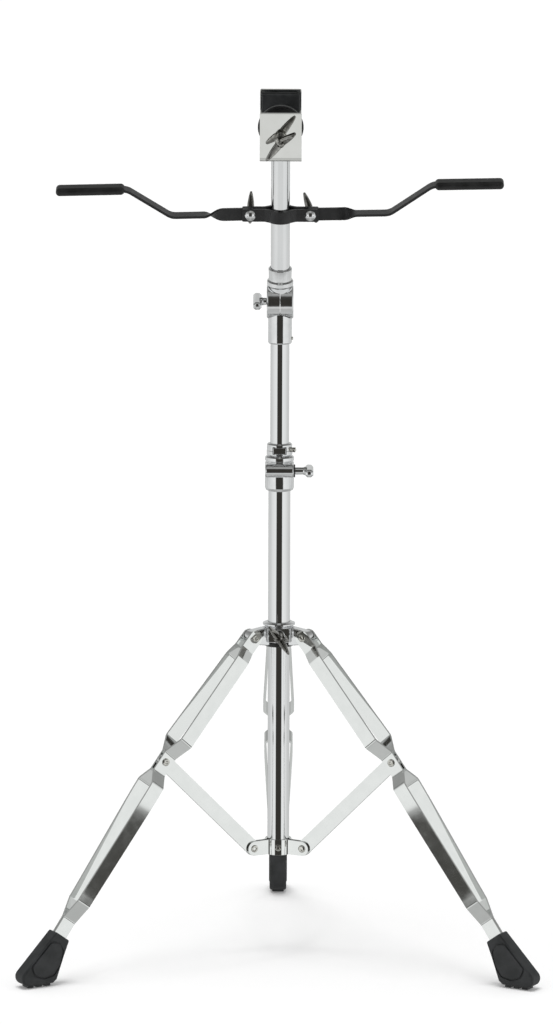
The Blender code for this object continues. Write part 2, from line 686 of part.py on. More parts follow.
def make_base_clamp(axis):
    """The casting on top of the base tube, with its bush, shoe, washer and T bolt."""
    low, high, radius = CLAMP_BOTTOM, CLAMP_TOP, CLAMP_RADIUS
    profile = [(0, high), (radius - 1.6 * MM, high), (radius, high - 1.6 * MM),
               (radius, high - 5.0 * MM), (radius - 0.9 * MM, high - 5.6 * MM),
               (radius - 0.9 * MM, high - 6.4 * MM), (radius, high - 7.0 * MM),
               (radius, low + 3.0 * MM), (radius - 0.9 * MM, low + 0.9 * MM),
               (radius - 2.4 * MM, low), (0, low)]
    clamp = part(turned("base_clamp", profile), "chrome", axis)
    across = shifted(y=-BARREL_FRONT, z=BARREL_Z) @ along_x()
    barrel = cylinder("barrel", BARREL_RADIUS, -BARREL_HALF, BARREL_HALF, 24)
    round_edges(barrel, 0.9 * MM, angle=60)
    join(clamp, tool(barrel, axis, across))
    step = high - 3.0 * MM
    bore = [(0, high + 2 * MM), (MIDDLE_RADIUS + 0.35 * MM, high + 2 * MM),
            (MIDDLE_RADIUS + 0.35 * MM, step), (BASE_RADIUS + 0.3 * MM, step),
            (BASE_RADIUS + 0.3 * MM, low - 2 * MM), (0, low - 2 * MM)]
    cut(clamp, tool(turned("clamp_bore", bore, FINE_STEPS), axis))
    reamer = cylinder("bolt_reamer", CLAMP_BOLT_RADIUS + 0.4 * MM, -9 * MM,
                      BARREL_HALF + 3 * MM, HOLE_STEPS)
    cut(clamp, tool(reamer, axis, across))
    bush = ring("base_clamp_bush", MIDDLE_RADIUS + GAP, BASE_RADIUS, BASE_TOP + GAP, step - GAP)
    part(bush, "nylon", axis)
    window = cylinder("bush_window", CLAMP_BOLT_RADIUS + 0.8 * MM, -20 * MM, 20 * MM, HOLE_STEPS)
    cut(bush, tool(window, axis, across))
    shoe = cylinder("clamp_shoe", CLAMP_BOLT_RADIUS, -8.6 * MM, 4.9 * MM, HOLE_STEPS)
    part(shoe, "rivet", axis, across)
    scallop = cylinder("shoe_scallop", MIDDLE_RADIUS + GAP, BARREL_Z - 20 * MM, BARREL_Z + 20 * MM,
                       FINE_STEPS)
    cut(shoe, tool(scallop, axis))
    washer = ring("clamp_washer", CLAMP_BOLT_RADIUS + 0.6 * MM, 6.6 * MM,
                  BARREL_HALF + GAP, BARREL_HALF + 1.6 * MM, HOLE_STEPS)
    part(washer, "nylon", axis, across)
    seat = BARREL_HALF + 1.6 * MM + GAP
    t_bolt("base_t_bolt", axis, across @ shifted(z=seat), CLAMP_BOLT_RADIUS, 5.2 * MM - seat,
           25.9 * MM - seat)


def make_memory_lock(axis):
    """A stop ring that is set on the middle tube, with a window and a square screw."""
    low, high, radius = LOCK_BOTTOM, LOCK_TOP, LOCK_RADIUS
    profile = [(radius - 1.4 * MM, high), (radius - 0.3 * MM, high - 1.2 * MM),
               (radius - 0.3 * MM, low + 5.2 * MM), (radius, low + 4.4 * MM),
               (radius, low + 0.8 * MM), (radius - 0.8 * MM, low),
               (MIDDLE_RADIUS + GAP, low), (MIDDLE_RADIUS + GAP, high)]
    lock = part(turned("memory_lock", profile, closed=True), "chrome", axis)
    middle = (low + high) / 2
    window = box("lock_window", (14.2 * MM, 10 * MM, 7.8 * MM), (0, -12 * MM, middle - 0.6 * MM))
    cut(lock, tool(window, axis))
    turn = shifted(z=middle) @ Matrix.Rotation(math.radians(-25), 4, "Z") @ along_x()
    cut(lock, tool(cylinder("lock_drill", 2.3 * MM + GAP, 5 * MM, 16 * MM), axis, turn))
    screw = cylinder("memory_lock_screw", 2.3 * MM, MIDDLE_RADIUS + GAP, 15.6 * MM)
    part(screw, "rivet", axis, turn)
    head = box("lock_screw_head", (3.8 * MM, 3.8 * MM, 4.0 * MM), (0, 0, 15.9 * MM))
    round_edges(head, 0.4 * MM)
    join(screw, tool(head, axis, turn @ Matrix.Rotation(math.radians(30), 4, "Z")))


def make_middle(axis):
    """The middle tube with the tilter's lower half on top of it."""
    tube_top = SOCKET_BOTTOM + 18.7 * MM
    tube = ring("middle_tube", MIDDLE_RADIUS - TUBE_WALL, MIDDLE_RADIUS, MIDDLE_BOTTOM, tube_top)
    part(tube, "chrome", axis)
    low = SOCKET_BOTTOM
    shoulder = PIVOT_Z - 6 * MM
    profile = [(0, shoulder), (SOCKET_RADIUS - 2.0 * MM, shoulder),
               (SOCKET_RADIUS, shoulder - 3.0 * MM), (SOCKET_RADIUS, low + 1.2 * MM),
               (SOCKET_RADIUS - 0.9 * MM, low), (0, low)]
    lower = part(turned("tilter_lower", profile), "chrome", axis)
    pivot = shifted(z=PIVOT_Z)
    clearance = cylinder("right_clearance", DISC_RADIUS + 0.5 * MM, -0.2 * MM, 20 * MM, FINE_STEPS)
    cut(lower, tool(clearance, axis, pivot @ along_x()))
    disc = cylinder("left_disc", DISC_RADIUS, 0.2 * MM, DISC_WIDTH, FINE_STEPS)
    round_edges(disc, 1.0 * MM, angle=60)
    join(lower, tool(disc, axis, pivot @ along_x(-1)))
    bore = cylinder("socket_bore", MIDDLE_RADIUS + GAP, low - 2 * MM, tube_top + GAP, FINE_STEPS)
    cut(lower, tool(bore, axis))
    drill = cylinder("left_disc_drill", TILTER_BOLT_RADIUS + 0.4 * MM, -2 * MM,
                     DISC_WIDTH + 2 * MM, HOLE_STEPS)
    cut(lower, tool(drill, axis, pivot @ along_x(-1)))
    screw_z = shifted(z=low + 5.2 * MM) @ along_x()
    cut(lower, tool(cylinder("set_screw_drill", 1.8 * MM + GAP, 5 * MM, 15 * MM), axis, screw_z))
    profile = [(0, 13.4 * MM), (1.2 * MM, 13.1 * MM), (1.8 * MM, 12.3 * MM),
               (1.8 * MM, MIDDLE_RADIUS + GAP), (0, MIDDLE_RADIUS + GAP)]
    part(turned("tilter_set_screw", profile, SMALL_STEPS), "rivet", axis, screw_z)
    seat = DISC_WIDTH + GAP
    t_bolt("tilter_wing_bolt", axis, pivot @ along_x(-1) @ shifted(z=seat)
           @ Matrix.Rotation(TILTER_GRIP_TURN, 4, "Z"), TILTER_BOLT_RADIUS, -seat - 9 * MM,
           18.8 * MM - seat)


def make_upper(lean):
    """The tilter's upper half with the top tube in it, in the leaning frame."""
    top = TUBE_RING_TOP
    profile = [(0, top), (10.9 * MM, top), (SOCKET_RADIUS, top - 1.2 * MM),
               (SOCKET_RADIUS - 0.5 * MM, top - 6.0 * MM), (SOCKET_RADIUS - 0.5 * MM, 24.5 * MM),
               (SOCKET_RADIUS + 1.3 * MM, 23.0 * MM), (SOCKET_RADIUS + 1.3 * MM, 19.0 * MM),
               (SOCKET_RADIUS, 17.5 * MM), (SOCKET_RADIUS, 8 * MM), (0, 8 * MM)]
    upper = part(turned("tilter_upper", profile), "chrome", lean)
    clearance = cylinder("left_clearance", DISC_RADIUS + 0.5 * MM, -0.2 * MM, 20 * MM, FINE_STEPS)
    cut(upper, tool(clearance, lean, along_x(-1)))
    disc = cylinder("right_disc", DISC_RADIUS, 0.2 * MM, DISC_WIDTH, FINE_STEPS)
    round_edges(disc, 1.0 * MM, angle=60)
    join(upper, tool(disc, lean, along_x()))
    drill = cylinder("right_disc_drill", TILTER_BOLT_RADIUS + 0.4 * MM, -2 * MM, 10 * MM, HOLE_STEPS)
    cut(upper, tool(drill, lean, along_x()))
    seat = 18.6 * MM
    bore = cylinder("ring_bore", MIDDLE_RADIUS + GAP, seat, top + 3 * MM, FINE_STEPS)
    cut(upper, tool(bore, lean))
    tube = ring("top_tube", MIDDLE_RADIUS - TUBE_WALL, MIDDLE_RADIUS, seat + GAP,
                BRACKET_BOTTOM - GAP)
    part(tube, "chrome", lean)


def make_bongo_clamp(lean):
    """The U bracket with its rear pad, pressure disc and wing bolt."""
    middle = BRACKET_THICKNESS / 2
    depth = BRACKET_HALF_DEPTH - middle
    path = filleted([(-depth, BRACKET_TOP), (-depth, BRACKET_BOTTOM + middle),
                     (depth, BRACKET_BOTTOM + middle), (depth, BRACKET_TOP)], 4.5 * MM, 3)
    corner = 1.2 * MM
    first, last = path[0], path[-1]
    path = [first, first - Vector((0, corner))] + path[1:-1] + [last - Vector((0, corner)), last]
    pairs = []
    for i, spot in enumerate(path):
        half = BRACKET_WIDTH / 2 - (corner if i in (0, len(path) - 1) else 0.0)
        pairs.append(((-half, spot.x, spot.y), (half, spot.x, spot.y)))
    bracket = part(ribbon("clamp_bracket", pairs, BRACKET_THICKNESS), "chrome", lean)
    round_edges(bracket, 0.5 * MM, angle=60)
    axis = shifted(z=JAW_SCREW_HEIGHT) @ across_y()
    drill = cylinder("jaw_screw_drill", JAW_SCREW_RADIUS + GAP, 30 * MM, 40 * MM, HOLE_STEPS)
    cut(bracket, tool(drill, lean, axis))
    inside = BRACKET_HALF_DEPTH - BRACKET_THICKNESS
    pad_thickness = 4.0 * MM
    pad = box("rear_pad", (38 * MM, pad_thickness, 40 * MM),
              (0, inside - GAP - pad_thickness / 2, BRACKET_BOTTOM + 28 * MM))
    round_edges(pad, 1.0 * MM, 2)
    part(pad, "rubber", lean)
    front = -JAW_DISC_Y
    radius = JAW_DISC_RADIUS
    profile = [(0, front), (7.0 * MM, front), (8.0 * MM, front - 0.9 * MM),
               (radius - 2.5 * MM, front - 0.9 * MM), (radius - 1.2 * MM, front - 0.2 * MM),
               (radius, front - 1.0 * MM), (radius, front - 3.2 * MM), (0, front - 3.2 * MM)]
    part(turned("pressure_disc", profile), "black_steel", lean, axis)
    facing = front - 3.2 * MM - GAP
    profile = [(0, facing), (radius - 0.8 * MM, facing), (radius - 0.8 * MM, facing - 3.2 * MM),
               (radius - 2.0 * MM, facing - 4.2 * MM), (0, facing - 4.2 * MM)]
    part(turned("disc_pad", profile), "rubber", lean, axis)
    hub = BRACKET_HALF_DEPTH + 8.5 * MM
    roll = math.radians(44.6)
    wing_fastener("bracket_wing_bolt", "chrome", lean,
                  shifted(y=-hub, z=JAW_SCREW_HEIGHT) @ across_y(roll), JAW_SCREW_RADIUS,
                  front + GAP - hub, tip_x=16.4 * MM, tip_z=15.5 * MM)


def clamp_half(name, side, lean):
    """One stamped half of the arm clamp. side is -1 in front and 1 behind."""
    flat = ARM_THICKNESS / 2 + GAP + ARM_CLAMP_THICKNESS / 2
    bulge = MIDDLE_RADIUS + GAP + ARM_CLAMP_THICKNESS / 2
    half = filleted([(-ARM_CLAMP_HALF_LENGTH, -flat), (-15.5 * MM, -flat)]
                    + arc((0, 0), bulge, 216, 270, 5), 1.5 * MM, 2)
    path = [tuple(p) for p in half] + [(-p[0], p[1]) for p in reversed(half[:-1])]
    tall = ARM_CLAMP_TALL / 2
    pairs = []
    for x, y in path:
        corner = 1.5 * MM if abs(x) > ARM_CLAMP_HALF_LENGTH - 0.1 * MM else 0.0
        pairs.append(((x, -side * y, corner - tall), (x, -side * y, tall - corner)))
    clamp = part(ribbon(name, pairs, ARM_CLAMP_THICKNESS), "black_steel", lean,
                 shifted(z=ARM_CLAMP_HEIGHT))
    for x in (-ARM_PIVOT_X, ARM_PIVOT_X):
        drill = cylinder(name + "_drill", ARM_BOLT_RADIUS + GAP, -12 * MM, 12 * MM)
        cut(clamp, tool(drill, lean, shifted(x, 0, ARM_CLAMP_HEIGHT) @ across_y()))
    return clamp


def arm_stations():
    """An arm's stations, from its pivot outwards: distance, height, turn of its width."""
    half = ARM_WIDTH / 2
    twist_start, twist_end = 25 * MM, 47 * MM
    lift_start = 79.5 * MM
    lift_end = lift_start + ARM_RISE / math.tan(math.radians(34))
    path = filleted([(twist_end, 0), (lift_start, 0), (lift_end, ARM_RISE), (ARM_LENGTH, ARM_RISE)],
                    9 * MM, 3)
    stations = [(-beyond, 0.0, 0.0) for beyond in round_end(half)]
    steps = 8
    for i in range(steps):
        t = i / steps
        ease = t * t * (3 - 2 * t)
        stations.append((twist_start + (twist_end - twist_start) * t, 0.0, ease * math.pi / 2))
    stations += [(x, z, math.pi / 2) for x, z in path]
    return stations


def make_arm(side_name, pivot):
    """A support arm: strip steel with a quarter twist, and its rubber sleeve."""
    half = ARM_WIDTH / 2
    pairs = []
    for distance, height, turn in arm_stations():
        width = rounded_half_width(half, max(-distance, 0.0))
        across = Vector((0.0, -math.sin(turn), math.cos(turn))) * width
        centre = Vector((-distance, 0.0, height))
        pairs.append((centre - across, centre + across))
    arm = part(ribbon("arm_" + side_name, pairs, ARM_THICKNESS), "black_steel", pivot)
    drill = cylinder("arm_drill_" + side_name, ARM_BOLT_RADIUS + GAP, -9 * MM, 9 * MM)
    cut(arm, tool(drill, pivot, across_y()))
    centre = (-SLEEVE_END + SLEEVE_LENGTH / 2, 0, ARM_RISE)
    sleeve = box("sleeve_" + side_name, (SLEEVE_LENGTH, SLEEVE_WIDTH, SLEEVE_HEIGHT), centre)
    round_edges(sleeve, 3.6 * MM, 2)
    part(sleeve, "rubber", pivot)
    slot_end = ARM_LENGTH + GAP
    slot = box("sleeve_slot_" + side_name,
               (slot_end, ARM_WIDTH + 2 * GAP, ARM_THICKNESS + 2 * GAP),
               (-slot_end / 2, 0, ARM_RISE))
    cut(sleeve, tool(slot, pivot))


def make_arms(lean):
    """Both halves of the arm clamp, its bolts and wing nuts, and the two arms."""
    clamp_half("arm_clamp_front", -1, lean)
    clamp_half("arm_clamp_rear", 1, lean)
    face = ARM_THICKNESS / 2 + GAP + ARM_CLAMP_THICKNESS + GAP
    placings = (("left", -1, -LEFT_ARM_DROP, LEFT_NUT_LEAN),
                ("right", 1, -RIGHT_ARM_LIFT, RIGHT_NUT_LEAN))
    for side_name, side, swing, nut_lean in placings:
        spot = shifted(side * ARM_PIVOT_X, 0, ARM_CLAMP_HEIGHT)
        profile = [(0, face + 3.2 * MM), (2.2 * MM, face + 2.9 * MM), (4.2 * MM, face + 1.8 * MM),
                   (5.6 * MM, face + 0.1 * MM), (5.6 * MM, face), (ARM_BOLT_RADIUS, face),
                   (ARM_BOLT_RADIUS, -face - 9 * MM), (0, -face - 9 * MM)]
        bolt = turned("arm_bolt_" + side_name, profile, SMALL_STEPS)
        part(bolt, "chrome", lean, spot @ across_y())
        behind = shifted(y=face) @ Matrix.Rotation(math.radians(-90), 4, "X")
        roll = Matrix.Rotation(math.pi / 2 + nut_lean, 4, "Z")
        wing_fastener("arm_wing_nut_" + side_name, "chrome", lean, spot @ behind @ roll, 0.0, 0.0,
                      bore=ARM_BOLT_RADIUS + GAP, tip_x=13.0 * MM, tip_z=13.0 * MM)
        turn = Matrix.Rotation(swing, 4, "Y")
        if side > 0:
            turn = turn @ Matrix.Rotation(math.pi, 4, "Z")
        make_arm(side_name, empty("arm_pivot_" + side_name, lean, spot @ turn))


def build_stand():
    axis = empty("tube_axis", None, shifted(y=AXIS_Y))
    base_tube = make_tubes(axis)
    make_foot_bracket(axis, base_tube)
    make_collar(axis)
    for label in LEG_AZIMUTH:
        make_leg(label, axis)
    make_base_clamp(axis)
    make_memory_lock(axis)
    make_middle(axis)
    lean = empty("tilter_axis", axis, shifted(z=PIVOT_Z) @ Matrix.Rotation(TILT, 4, "X"))
    make_upper(lean)
    make_bongo_clamp(lean)
    make_arms(lean)


build_stand()
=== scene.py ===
"""Looks of the bongo stand: finer pieces, their materials, a plain studio and the camera.

Metres, +Z up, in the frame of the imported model. Every CAD node is replaced by a finer
piece of the same size, built by the same rules and riding on the same body.
"""
import json
import math

import bmesh
import bpy
from mathutils import Matrix, Vector

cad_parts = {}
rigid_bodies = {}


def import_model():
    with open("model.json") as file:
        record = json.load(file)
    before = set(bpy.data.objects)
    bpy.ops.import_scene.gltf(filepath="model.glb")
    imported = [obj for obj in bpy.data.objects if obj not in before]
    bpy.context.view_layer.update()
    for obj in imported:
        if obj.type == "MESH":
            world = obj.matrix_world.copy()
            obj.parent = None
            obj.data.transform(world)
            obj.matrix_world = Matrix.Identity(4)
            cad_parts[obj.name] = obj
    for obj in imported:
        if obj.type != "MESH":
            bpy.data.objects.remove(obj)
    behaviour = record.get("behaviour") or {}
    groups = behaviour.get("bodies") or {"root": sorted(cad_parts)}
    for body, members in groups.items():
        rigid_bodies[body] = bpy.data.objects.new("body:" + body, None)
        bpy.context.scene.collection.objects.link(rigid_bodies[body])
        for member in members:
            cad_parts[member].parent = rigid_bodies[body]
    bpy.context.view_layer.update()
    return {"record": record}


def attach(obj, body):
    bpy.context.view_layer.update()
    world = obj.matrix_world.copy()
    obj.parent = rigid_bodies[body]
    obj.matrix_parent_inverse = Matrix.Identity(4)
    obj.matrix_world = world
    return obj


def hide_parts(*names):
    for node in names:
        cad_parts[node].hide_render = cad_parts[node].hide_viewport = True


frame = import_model()
RECORD = frame["record"]
NODE_BODY = {node: body for body, nodes in RECORD["behaviour"]["bodies"].items() for node in nodes}

MM = 0.001
GAP = 0.3 * MM

# Sizes of the CAD model
BASE_RADIUS = 11.1 * MM
MIDDLE_RADIUS = 9.525 * MM
TUBE_WALL = 1.2 * MM
BASE_BOTTOM = 107.0 * MM
BASE_TOP = 497.0 * MM
MIDDLE_BOTTOM = 290.0 * MM
COLLAR_PIVOT_R = 31.2 * MM
COLLAR_PIVOT_Z = 334.3 * MM
UPPER_ANGLE = math.radians(40.8)
UPPER_LENGTH = 157.1 * MM
LOWER_ANGLE = math.radians(36.0)
LOWER_LENGTH = 218.0 * MM
BRACKET_PIVOT_R = 29.9 * MM
BRACKET_PIVOT_Z = 113.7 * MM
LEG_AZIMUTH = {
    "front_left": math.radians(-150),
    "front_right": math.radians(-30),
    "rear": math.radians(90),
}
STRIP_WIDTH = 15.0 * MM
STRIP_THICKNESS = 2.2 * MM
BRACE_THICKNESS = 2.5 * MM
LUG_THICKNESS = 10.4 * MM
RIVET_RADIUS = 2.7 * MM
RIVET_HEAD = 4.0 * MM
WING_TIP = 4.3 * MM
BOOT_THICKNESS = 18.0 * MM
BOOT_NECK_THICKNESS = 16.4 * MM
BOOT_NECK = 9.0 * MM
BOOT_GRIP = 13.0 * MM
BOOT_TREAD_IN = 268.0 * MM
BOOT_REACH = 301.0 * MM
TREAD_DEPTH = 2.6 * MM
TREAD_WIDTH = 12.5 * MM
TREAD_BAR = 6.5 * MM
TREAD_PITCH = 9.5 * MM
AXIS_Y = -(BOOT_REACH / 2 - BOOT_THICKNESS / 2 * math.cos(math.radians(30))) / 2
COLLAR_BOTTOM = 323.0 * MM
COLLAR_TOP = 348.0 * MM
COLLAR_SCREW_Z = 336.0 * MM
PLATE_THICKNESS = 2.0 * MM
PLATE_HALF_HEIGHT = 7.9 * MM
EAR_RADIUS = 7.3 * MM
CLAMP_BOTTOM = 483.5 * MM
CLAMP_TOP = 519.5 * MM
CLAMP_RADIUS = 14.6 * MM
BARREL_Z = 505.5 * MM
BARREL_FRONT = 13.2 * MM
BARREL_RADIUS = 6.8 * MM
BARREL_HALF = 14.3 * MM
CLAMP_BOLT_RADIUS = 3.5 * MM
GRIP_LENGTH = 36.0 * MM
GRIP_WIDTH = 8.4 * MM
GRIP_HEIGHT = 8.0 * MM
LOCK_BOTTOM = 520.0 * MM
LOCK_TOP = 532.2 * MM
LOCK_RADIUS = 13.0 * MM
PIVOT_Z = 677.0 * MM
TILT = math.radians(14.0)
TILTER_GRIP_TURN = math.radians(-10.0)
TILTER_BOLT_RADIUS = 3.0 * MM
DISC_RADIUS = 17.2 * MM
DISC_WIDTH = 13.4 * MM
SOCKET_BOTTOM = 634.3 * MM
SOCKET_RADIUS = 11.9 * MM
TUBE_RING_TOP = 37.0 * MM
BRACKET_BOTTOM = 163.0 * MM
BRACKET_TOP = 215.0 * MM
BRACKET_WIDTH = 41.6 * MM
BRACKET_HALF_DEPTH = 36.5 * MM
BRACKET_THICKNESS = 2.5 * MM
JAW_SCREW_HEIGHT = (BRACKET_BOTTOM + BRACKET_TOP) / 2
JAW_SCREW_RADIUS = 4.0 * MM
JAW_DISC_RADIUS = 22.9 * MM
JAW_DISC_FRONT = 6.5 * MM
ARM_CLAMP_HEIGHT = 94.5 * MM
ARM_CLAMP_TALL = 13.0 * MM
ARM_CLAMP_THICKNESS = 3.5 * MM
ARM_CLAMP_HALF_LENGTH = 38.5 * MM
ARM_PIVOT_X = 30.1 * MM
ARM_WIDTH = 13.0 * MM
ARM_THICKNESS = 2.6 * MM
ARM_LENGTH = 188.0 * MM
ARM_RISE = 29.5 * MM
ARM_BOLT_RADIUS = 3.0 * MM
SLEEVE_LENGTH = 69.0 * MM
SLEEVE_END = 194.5 * MM
SLEEVE_WIDTH = 17.0 * MM
SLEEVE_HEIGHT = 8.2 * MM
LEFT_ARM_DROP = math.radians(1.5)
RIGHT_ARM_LIFT = math.radians(1.2)
LEFT_NUT_LEAN = math.radians(2)
RIGHT_NUT_LEAN = math.radians(-22)

TUBE_STEPS = 128
ROUND_STEPS = 96
SCREW_STEPS = 48
SOFT = 0.35 * MM

AXIS = Matrix.Translation((0, AXIS_Y, 0))
LEAN = AXIS @ Matrix.Translation((0, 0, PIVOT_Z)) @ Matrix.Rotation(TILT, 4, "X")

WORKSHOP = bpy.data.collections.new("workshop")
bpy.context.scene.collection.children.link(WORKSHOP)
PIECES = {}


# Building solids

def raw(name, bm, place=Matrix()):
    """A solid in the workshop, from a bmesh, with its faces pointing out."""
    bmesh.ops.recalc_face_normals(bm, faces=bm.faces)
    mesh = bpy.data.meshes.new(name)
    bm.to_mesh(mesh)
    bm.free()
    mesh.shade_smooth()
    obj = bpy.data.objects.new(name, mesh)
    obj.matrix_basis = place
    WORKSHOP.objects.link(obj)
    return obj


def softened(points, radius, steps=3, closed=False):
    """A 2D path with its corners rounded, each by no more than its sides allow."""
    points = [Vector(p) for p in points]
    count = len(points)
    path = [] if closed else [points[0]]
    for i in range(count) if closed else range(1, count - 1):
        corner = points[i]
        back = points[i - 1] - corner
        ahead = points[(i + 1) % count] - corner
        if back.length < 1e-7 or ahead.length < 1e-7:
            continue
        turn = math.pi - back.angle(ahead)
        reach = min(radius * math.tan(min(turn, 2.6) / 2), 0.42 * back.length, 0.42 * ahead.length)
        if turn < 0.12 or reach < 0.02 * MM:
            path.append(corner)
            continue
        start = corner + back.normalized() * reach
        end = corner + ahead.normalized() * reach
        for k in range(steps + 1):
            t = k / steps
            path.append(start * (1 - t) ** 2 + corner * 2 * t * (1 - t) + end * t ** 2)
    if not closed:
        path.append(points[-1])
    return path


def turned(name, profile, place=Matrix(), steps=ROUND_STEPS, closed=False, soft=SOFT):
    """A solid of revolution round local Z from (radius, height) pairs."""
    path = softened(profile, soft, closed=closed) if soft else [Vector(p) for p in profile]
    bm = bmesh.new()
    rows = []
    for radius, height in path:
        if radius < 1e-7:
            rows.append([bm.verts.new((0, 0, height))])
            continue
        row = []
        for i in range(steps):
            angle = 2 * math.pi * i / steps
            row.append(bm.verts.new((radius * math.cos(angle), radius * math.sin(angle), height)))
        rows.append(row)
    pairs = list(zip(rows, rows[1:]))
    if closed:
        pairs.append((rows[-1], rows[0]))
    for one, two in pairs:
        for i in range(steps):
            j = (i + 1) % steps
            if len(one) == 1 and len(two) == 1:
                break
            if len(one) == 1:
                bm.faces.new((one[0], two[i], two[j]))
            elif len(two) == 1:
                bm.faces.new((one[i], one[j], two[0]))
            else:
                bm.faces.new((one[i], one[j], two[j], two[i]))
    return raw(name, bm, place)


def ring(name, inner, outer, low, high, place=Matrix(), steps=ROUND_STEPS):
    return turned(name, [(outer, high), (outer, low), (inner, low), (inner, high)],
                  place, steps, closed=True)


def rod(name, radius, low, high, place=Matrix(), steps=SCREW_STEPS, soft=0.0):
    return turned(name, [(0, high), (radius, high), (radius, low), (0, low)], place, steps,
                  soft=soft)


def slab(name, outline, thickness, place=Matrix(), edge=0.0, soft=0.0, segments=3):
    """An outline in local XY, given thickness both ways, with rounded corners and edges."""
    if soft:
        outline = softened(outline, soft, 5, closed=True)
    bm = bmesh.new()
    low = [bm.verts.new((x, y, -thickness / 2)) for x, y in outline]
    high = [bm.verts.new((x, y, thickness / 2)) for x, y in outline]
    bm.faces.new(low)
    bm.faces.new(high)
    for i in range(len(outline)):
        j = (i + 1) % len(outline)
        bm.faces.new((low[i], low[j], high[j], high[i]))
    obj = raw(name, bm, place)
    if edge:
        round_edges(obj, edge, segments, 60)
    return obj


def box(name, size, centre=(0, 0, 0), place=Matrix(), edge=0.0, segments=3):
    x, y, z = (s / 2 for s in size)
    outline = [(-x, -y), (x, -y), (x, y), (-x, y)]
    return slab(name, outline, 2 * z, place @ Matrix.Translation(centre), edge, segments=segments)


def ribbon(name, pairs, thickness, place=Matrix(), edge=0.45 * MM):
    """A strip of sheet metal between two edges, with eased edges."""
    bm = bmesh.new()
    rows = [(bm.verts.new(left), bm.verts.new(right)) for left, right in pairs]
    for (a, b), (c, d) in zip(rows, rows[1:]):
        bm.faces.new((a, b, d, c))
    obj = raw(name, bm, place)
    sheet = obj.modifiers.new("sheet", "SOLIDIFY")
    sheet.thickness = thickness
    sheet.offset = 0.0
    sheet.use_even_offset = True
    round_edges(obj, edge, 2, 60)
    return obj


def round_edges(obj, width, segments=3, angle=40):
    step = obj.modifiers.new("round_edges", "BEVEL")
    step.width = width
    step.segments = segments
    step.limit_method = "ANGLE"
    step.angle_limit = math.radians(angle)


def combine(obj, other, operation):
    step = obj.modifiers.new(operation.lower(), "BOOLEAN")
    step.operation = operation
    step.solver = "EXACT"
    step.object = other


def join(obj, *others):
    for other in others:
        combine(obj, other, "UNION")


def cut(obj, *others):
    for other in others:
        combine(obj, other, "DIFFERENCE")


def arc(centre, radius, start, end, steps):
    """Points on an arc between two angles in degrees."""
    points = []
    for i in range(steps + 1):
        angle = math.radians(start + (end - start) * i / steps)
        points.append((centre[0] + radius * math.cos(angle), centre[1] + radius * math.sin(angle)))
    return points


def across_y(angle=0.0):
    """Turn local Z to point along -Y, then roll about it."""
    return Matrix.Rotation(math.radians(90), 4, "X") @ Matrix.Rotation(angle, 4, "Z")


def along_x(sign=1):
    return Matrix.Rotation(math.radians(90 * sign), 4, "Y")


def shifted(x=0.0, y=0.0, z=0.0):
    return Matrix.Translation((x, y, z))


def finished(obj, angle=38):
    """The final mesh of a workshop solid, in the row's frame, with weighted normals."""
    bpy.context.view_layer.update()
    depsgraph = bpy.context.evaluated_depsgraph_get()
    mesh = bpy.data.meshes.new_from_object(obj.evaluated_get(depsgraph))
    mesh.transform(obj.matrix_basis)
    mesh.shade_smooth()
    mesh.set_sharp_from_angle(angle=math.radians(angle))
    made = bpy.data.objects.new(obj.name + "_fine", mesh)
    WORKSHOP.objects.link(made)
    weigh = made.modifiers.new("weigh", "WEIGHTED_NORMAL")
    weigh.keep_sharp = True
    weigh.weight = 60
    bpy.context.view_layer.update()
    depsgraph = bpy.context.evaluated_depsgraph_get()
    final = bpy.data.meshes.new_from_object(made.evaluated_get(depsgraph),
                                            preserve_all_data_layers=True, depsgraph=depsgraph)
    bpy.data.objects.remove(made, do_unlink=True)
    return final


def piece(obj, node, finish, angle=38):
    """Turns a workshop solid into the visible piece that stands for a CAD node."""
    mesh = finished(obj, angle)
    mesh.name = "fine_" + node
    made = bpy.data.objects.new("fine_" + node, mesh)
    bpy.context.scene.collection.objects.link(made)
    mesh.materials.clear()
    mesh.materials.append(MATERIALS[finish])
    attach(made, NODE_BODY[node])
    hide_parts(node)
    PIECES[node] = made
    return made


# Materials

def new_material(name, colour, metallic, roughness):
    made = bpy.data.materials.new(name)
    made.use_nodes = True
    shader = made.node_tree.nodes["Principled BSDF"]
    shader.inputs["Base Color"].default_value = (*colour, 1.0)
    shader.inputs["Metallic"].default_value = metallic
    shader.inputs["Roughness"].default_value = roughness
    return made, made.node_tree, shader


def noise(tree, scale, detail=3.0, stretch=(1, 1, 1)):
    coord = tree.nodes.new("ShaderNodeTexCoord")
    mapping = tree.nodes.new("ShaderNodeMapping")
    mapping.inputs["Scale"].default_value = stretch
    texture = tree.nodes.new("ShaderNodeTexNoise")
    texture.inputs["Scale"].default_value = scale
    texture.inputs["Detail"].default_value = detail
    tree.links.new(coord.outputs["Object"], mapping.inputs["Vector"])
    tree.links.new(mapping.outputs["Vector"], texture.inputs["Vector"])
    return texture.outputs["Fac"]


def ranged(tree, value, low, high, start=0.3, end=0.7):
    step = tree.nodes.new("ShaderNodeMapRange")
    step.inputs["From Min"].default_value = start
    step.inputs["From Max"].default_value = end
    step.inputs["To Min"].default_value = low
    step.inputs["To Max"].default_value = high
    tree.links.new(value, step.inputs["Value"])
    return step.outputs["Result"]


def blended(tree, value, first, second, start=0.35, end=0.65):
    ramp = tree.nodes.new("ShaderNodeValToRGB")
    ramp.color_ramp.elements[0].position = start
    ramp.color_ramp.elements[0].color = (*first, 1.0)
    ramp.color_ramp.elements[1].position = end
    ramp.color_ramp.elements[1].color = (*second, 1.0)
    tree.links.new(value, ramp.inputs["Fac"])
    return ramp.outputs["Color"]


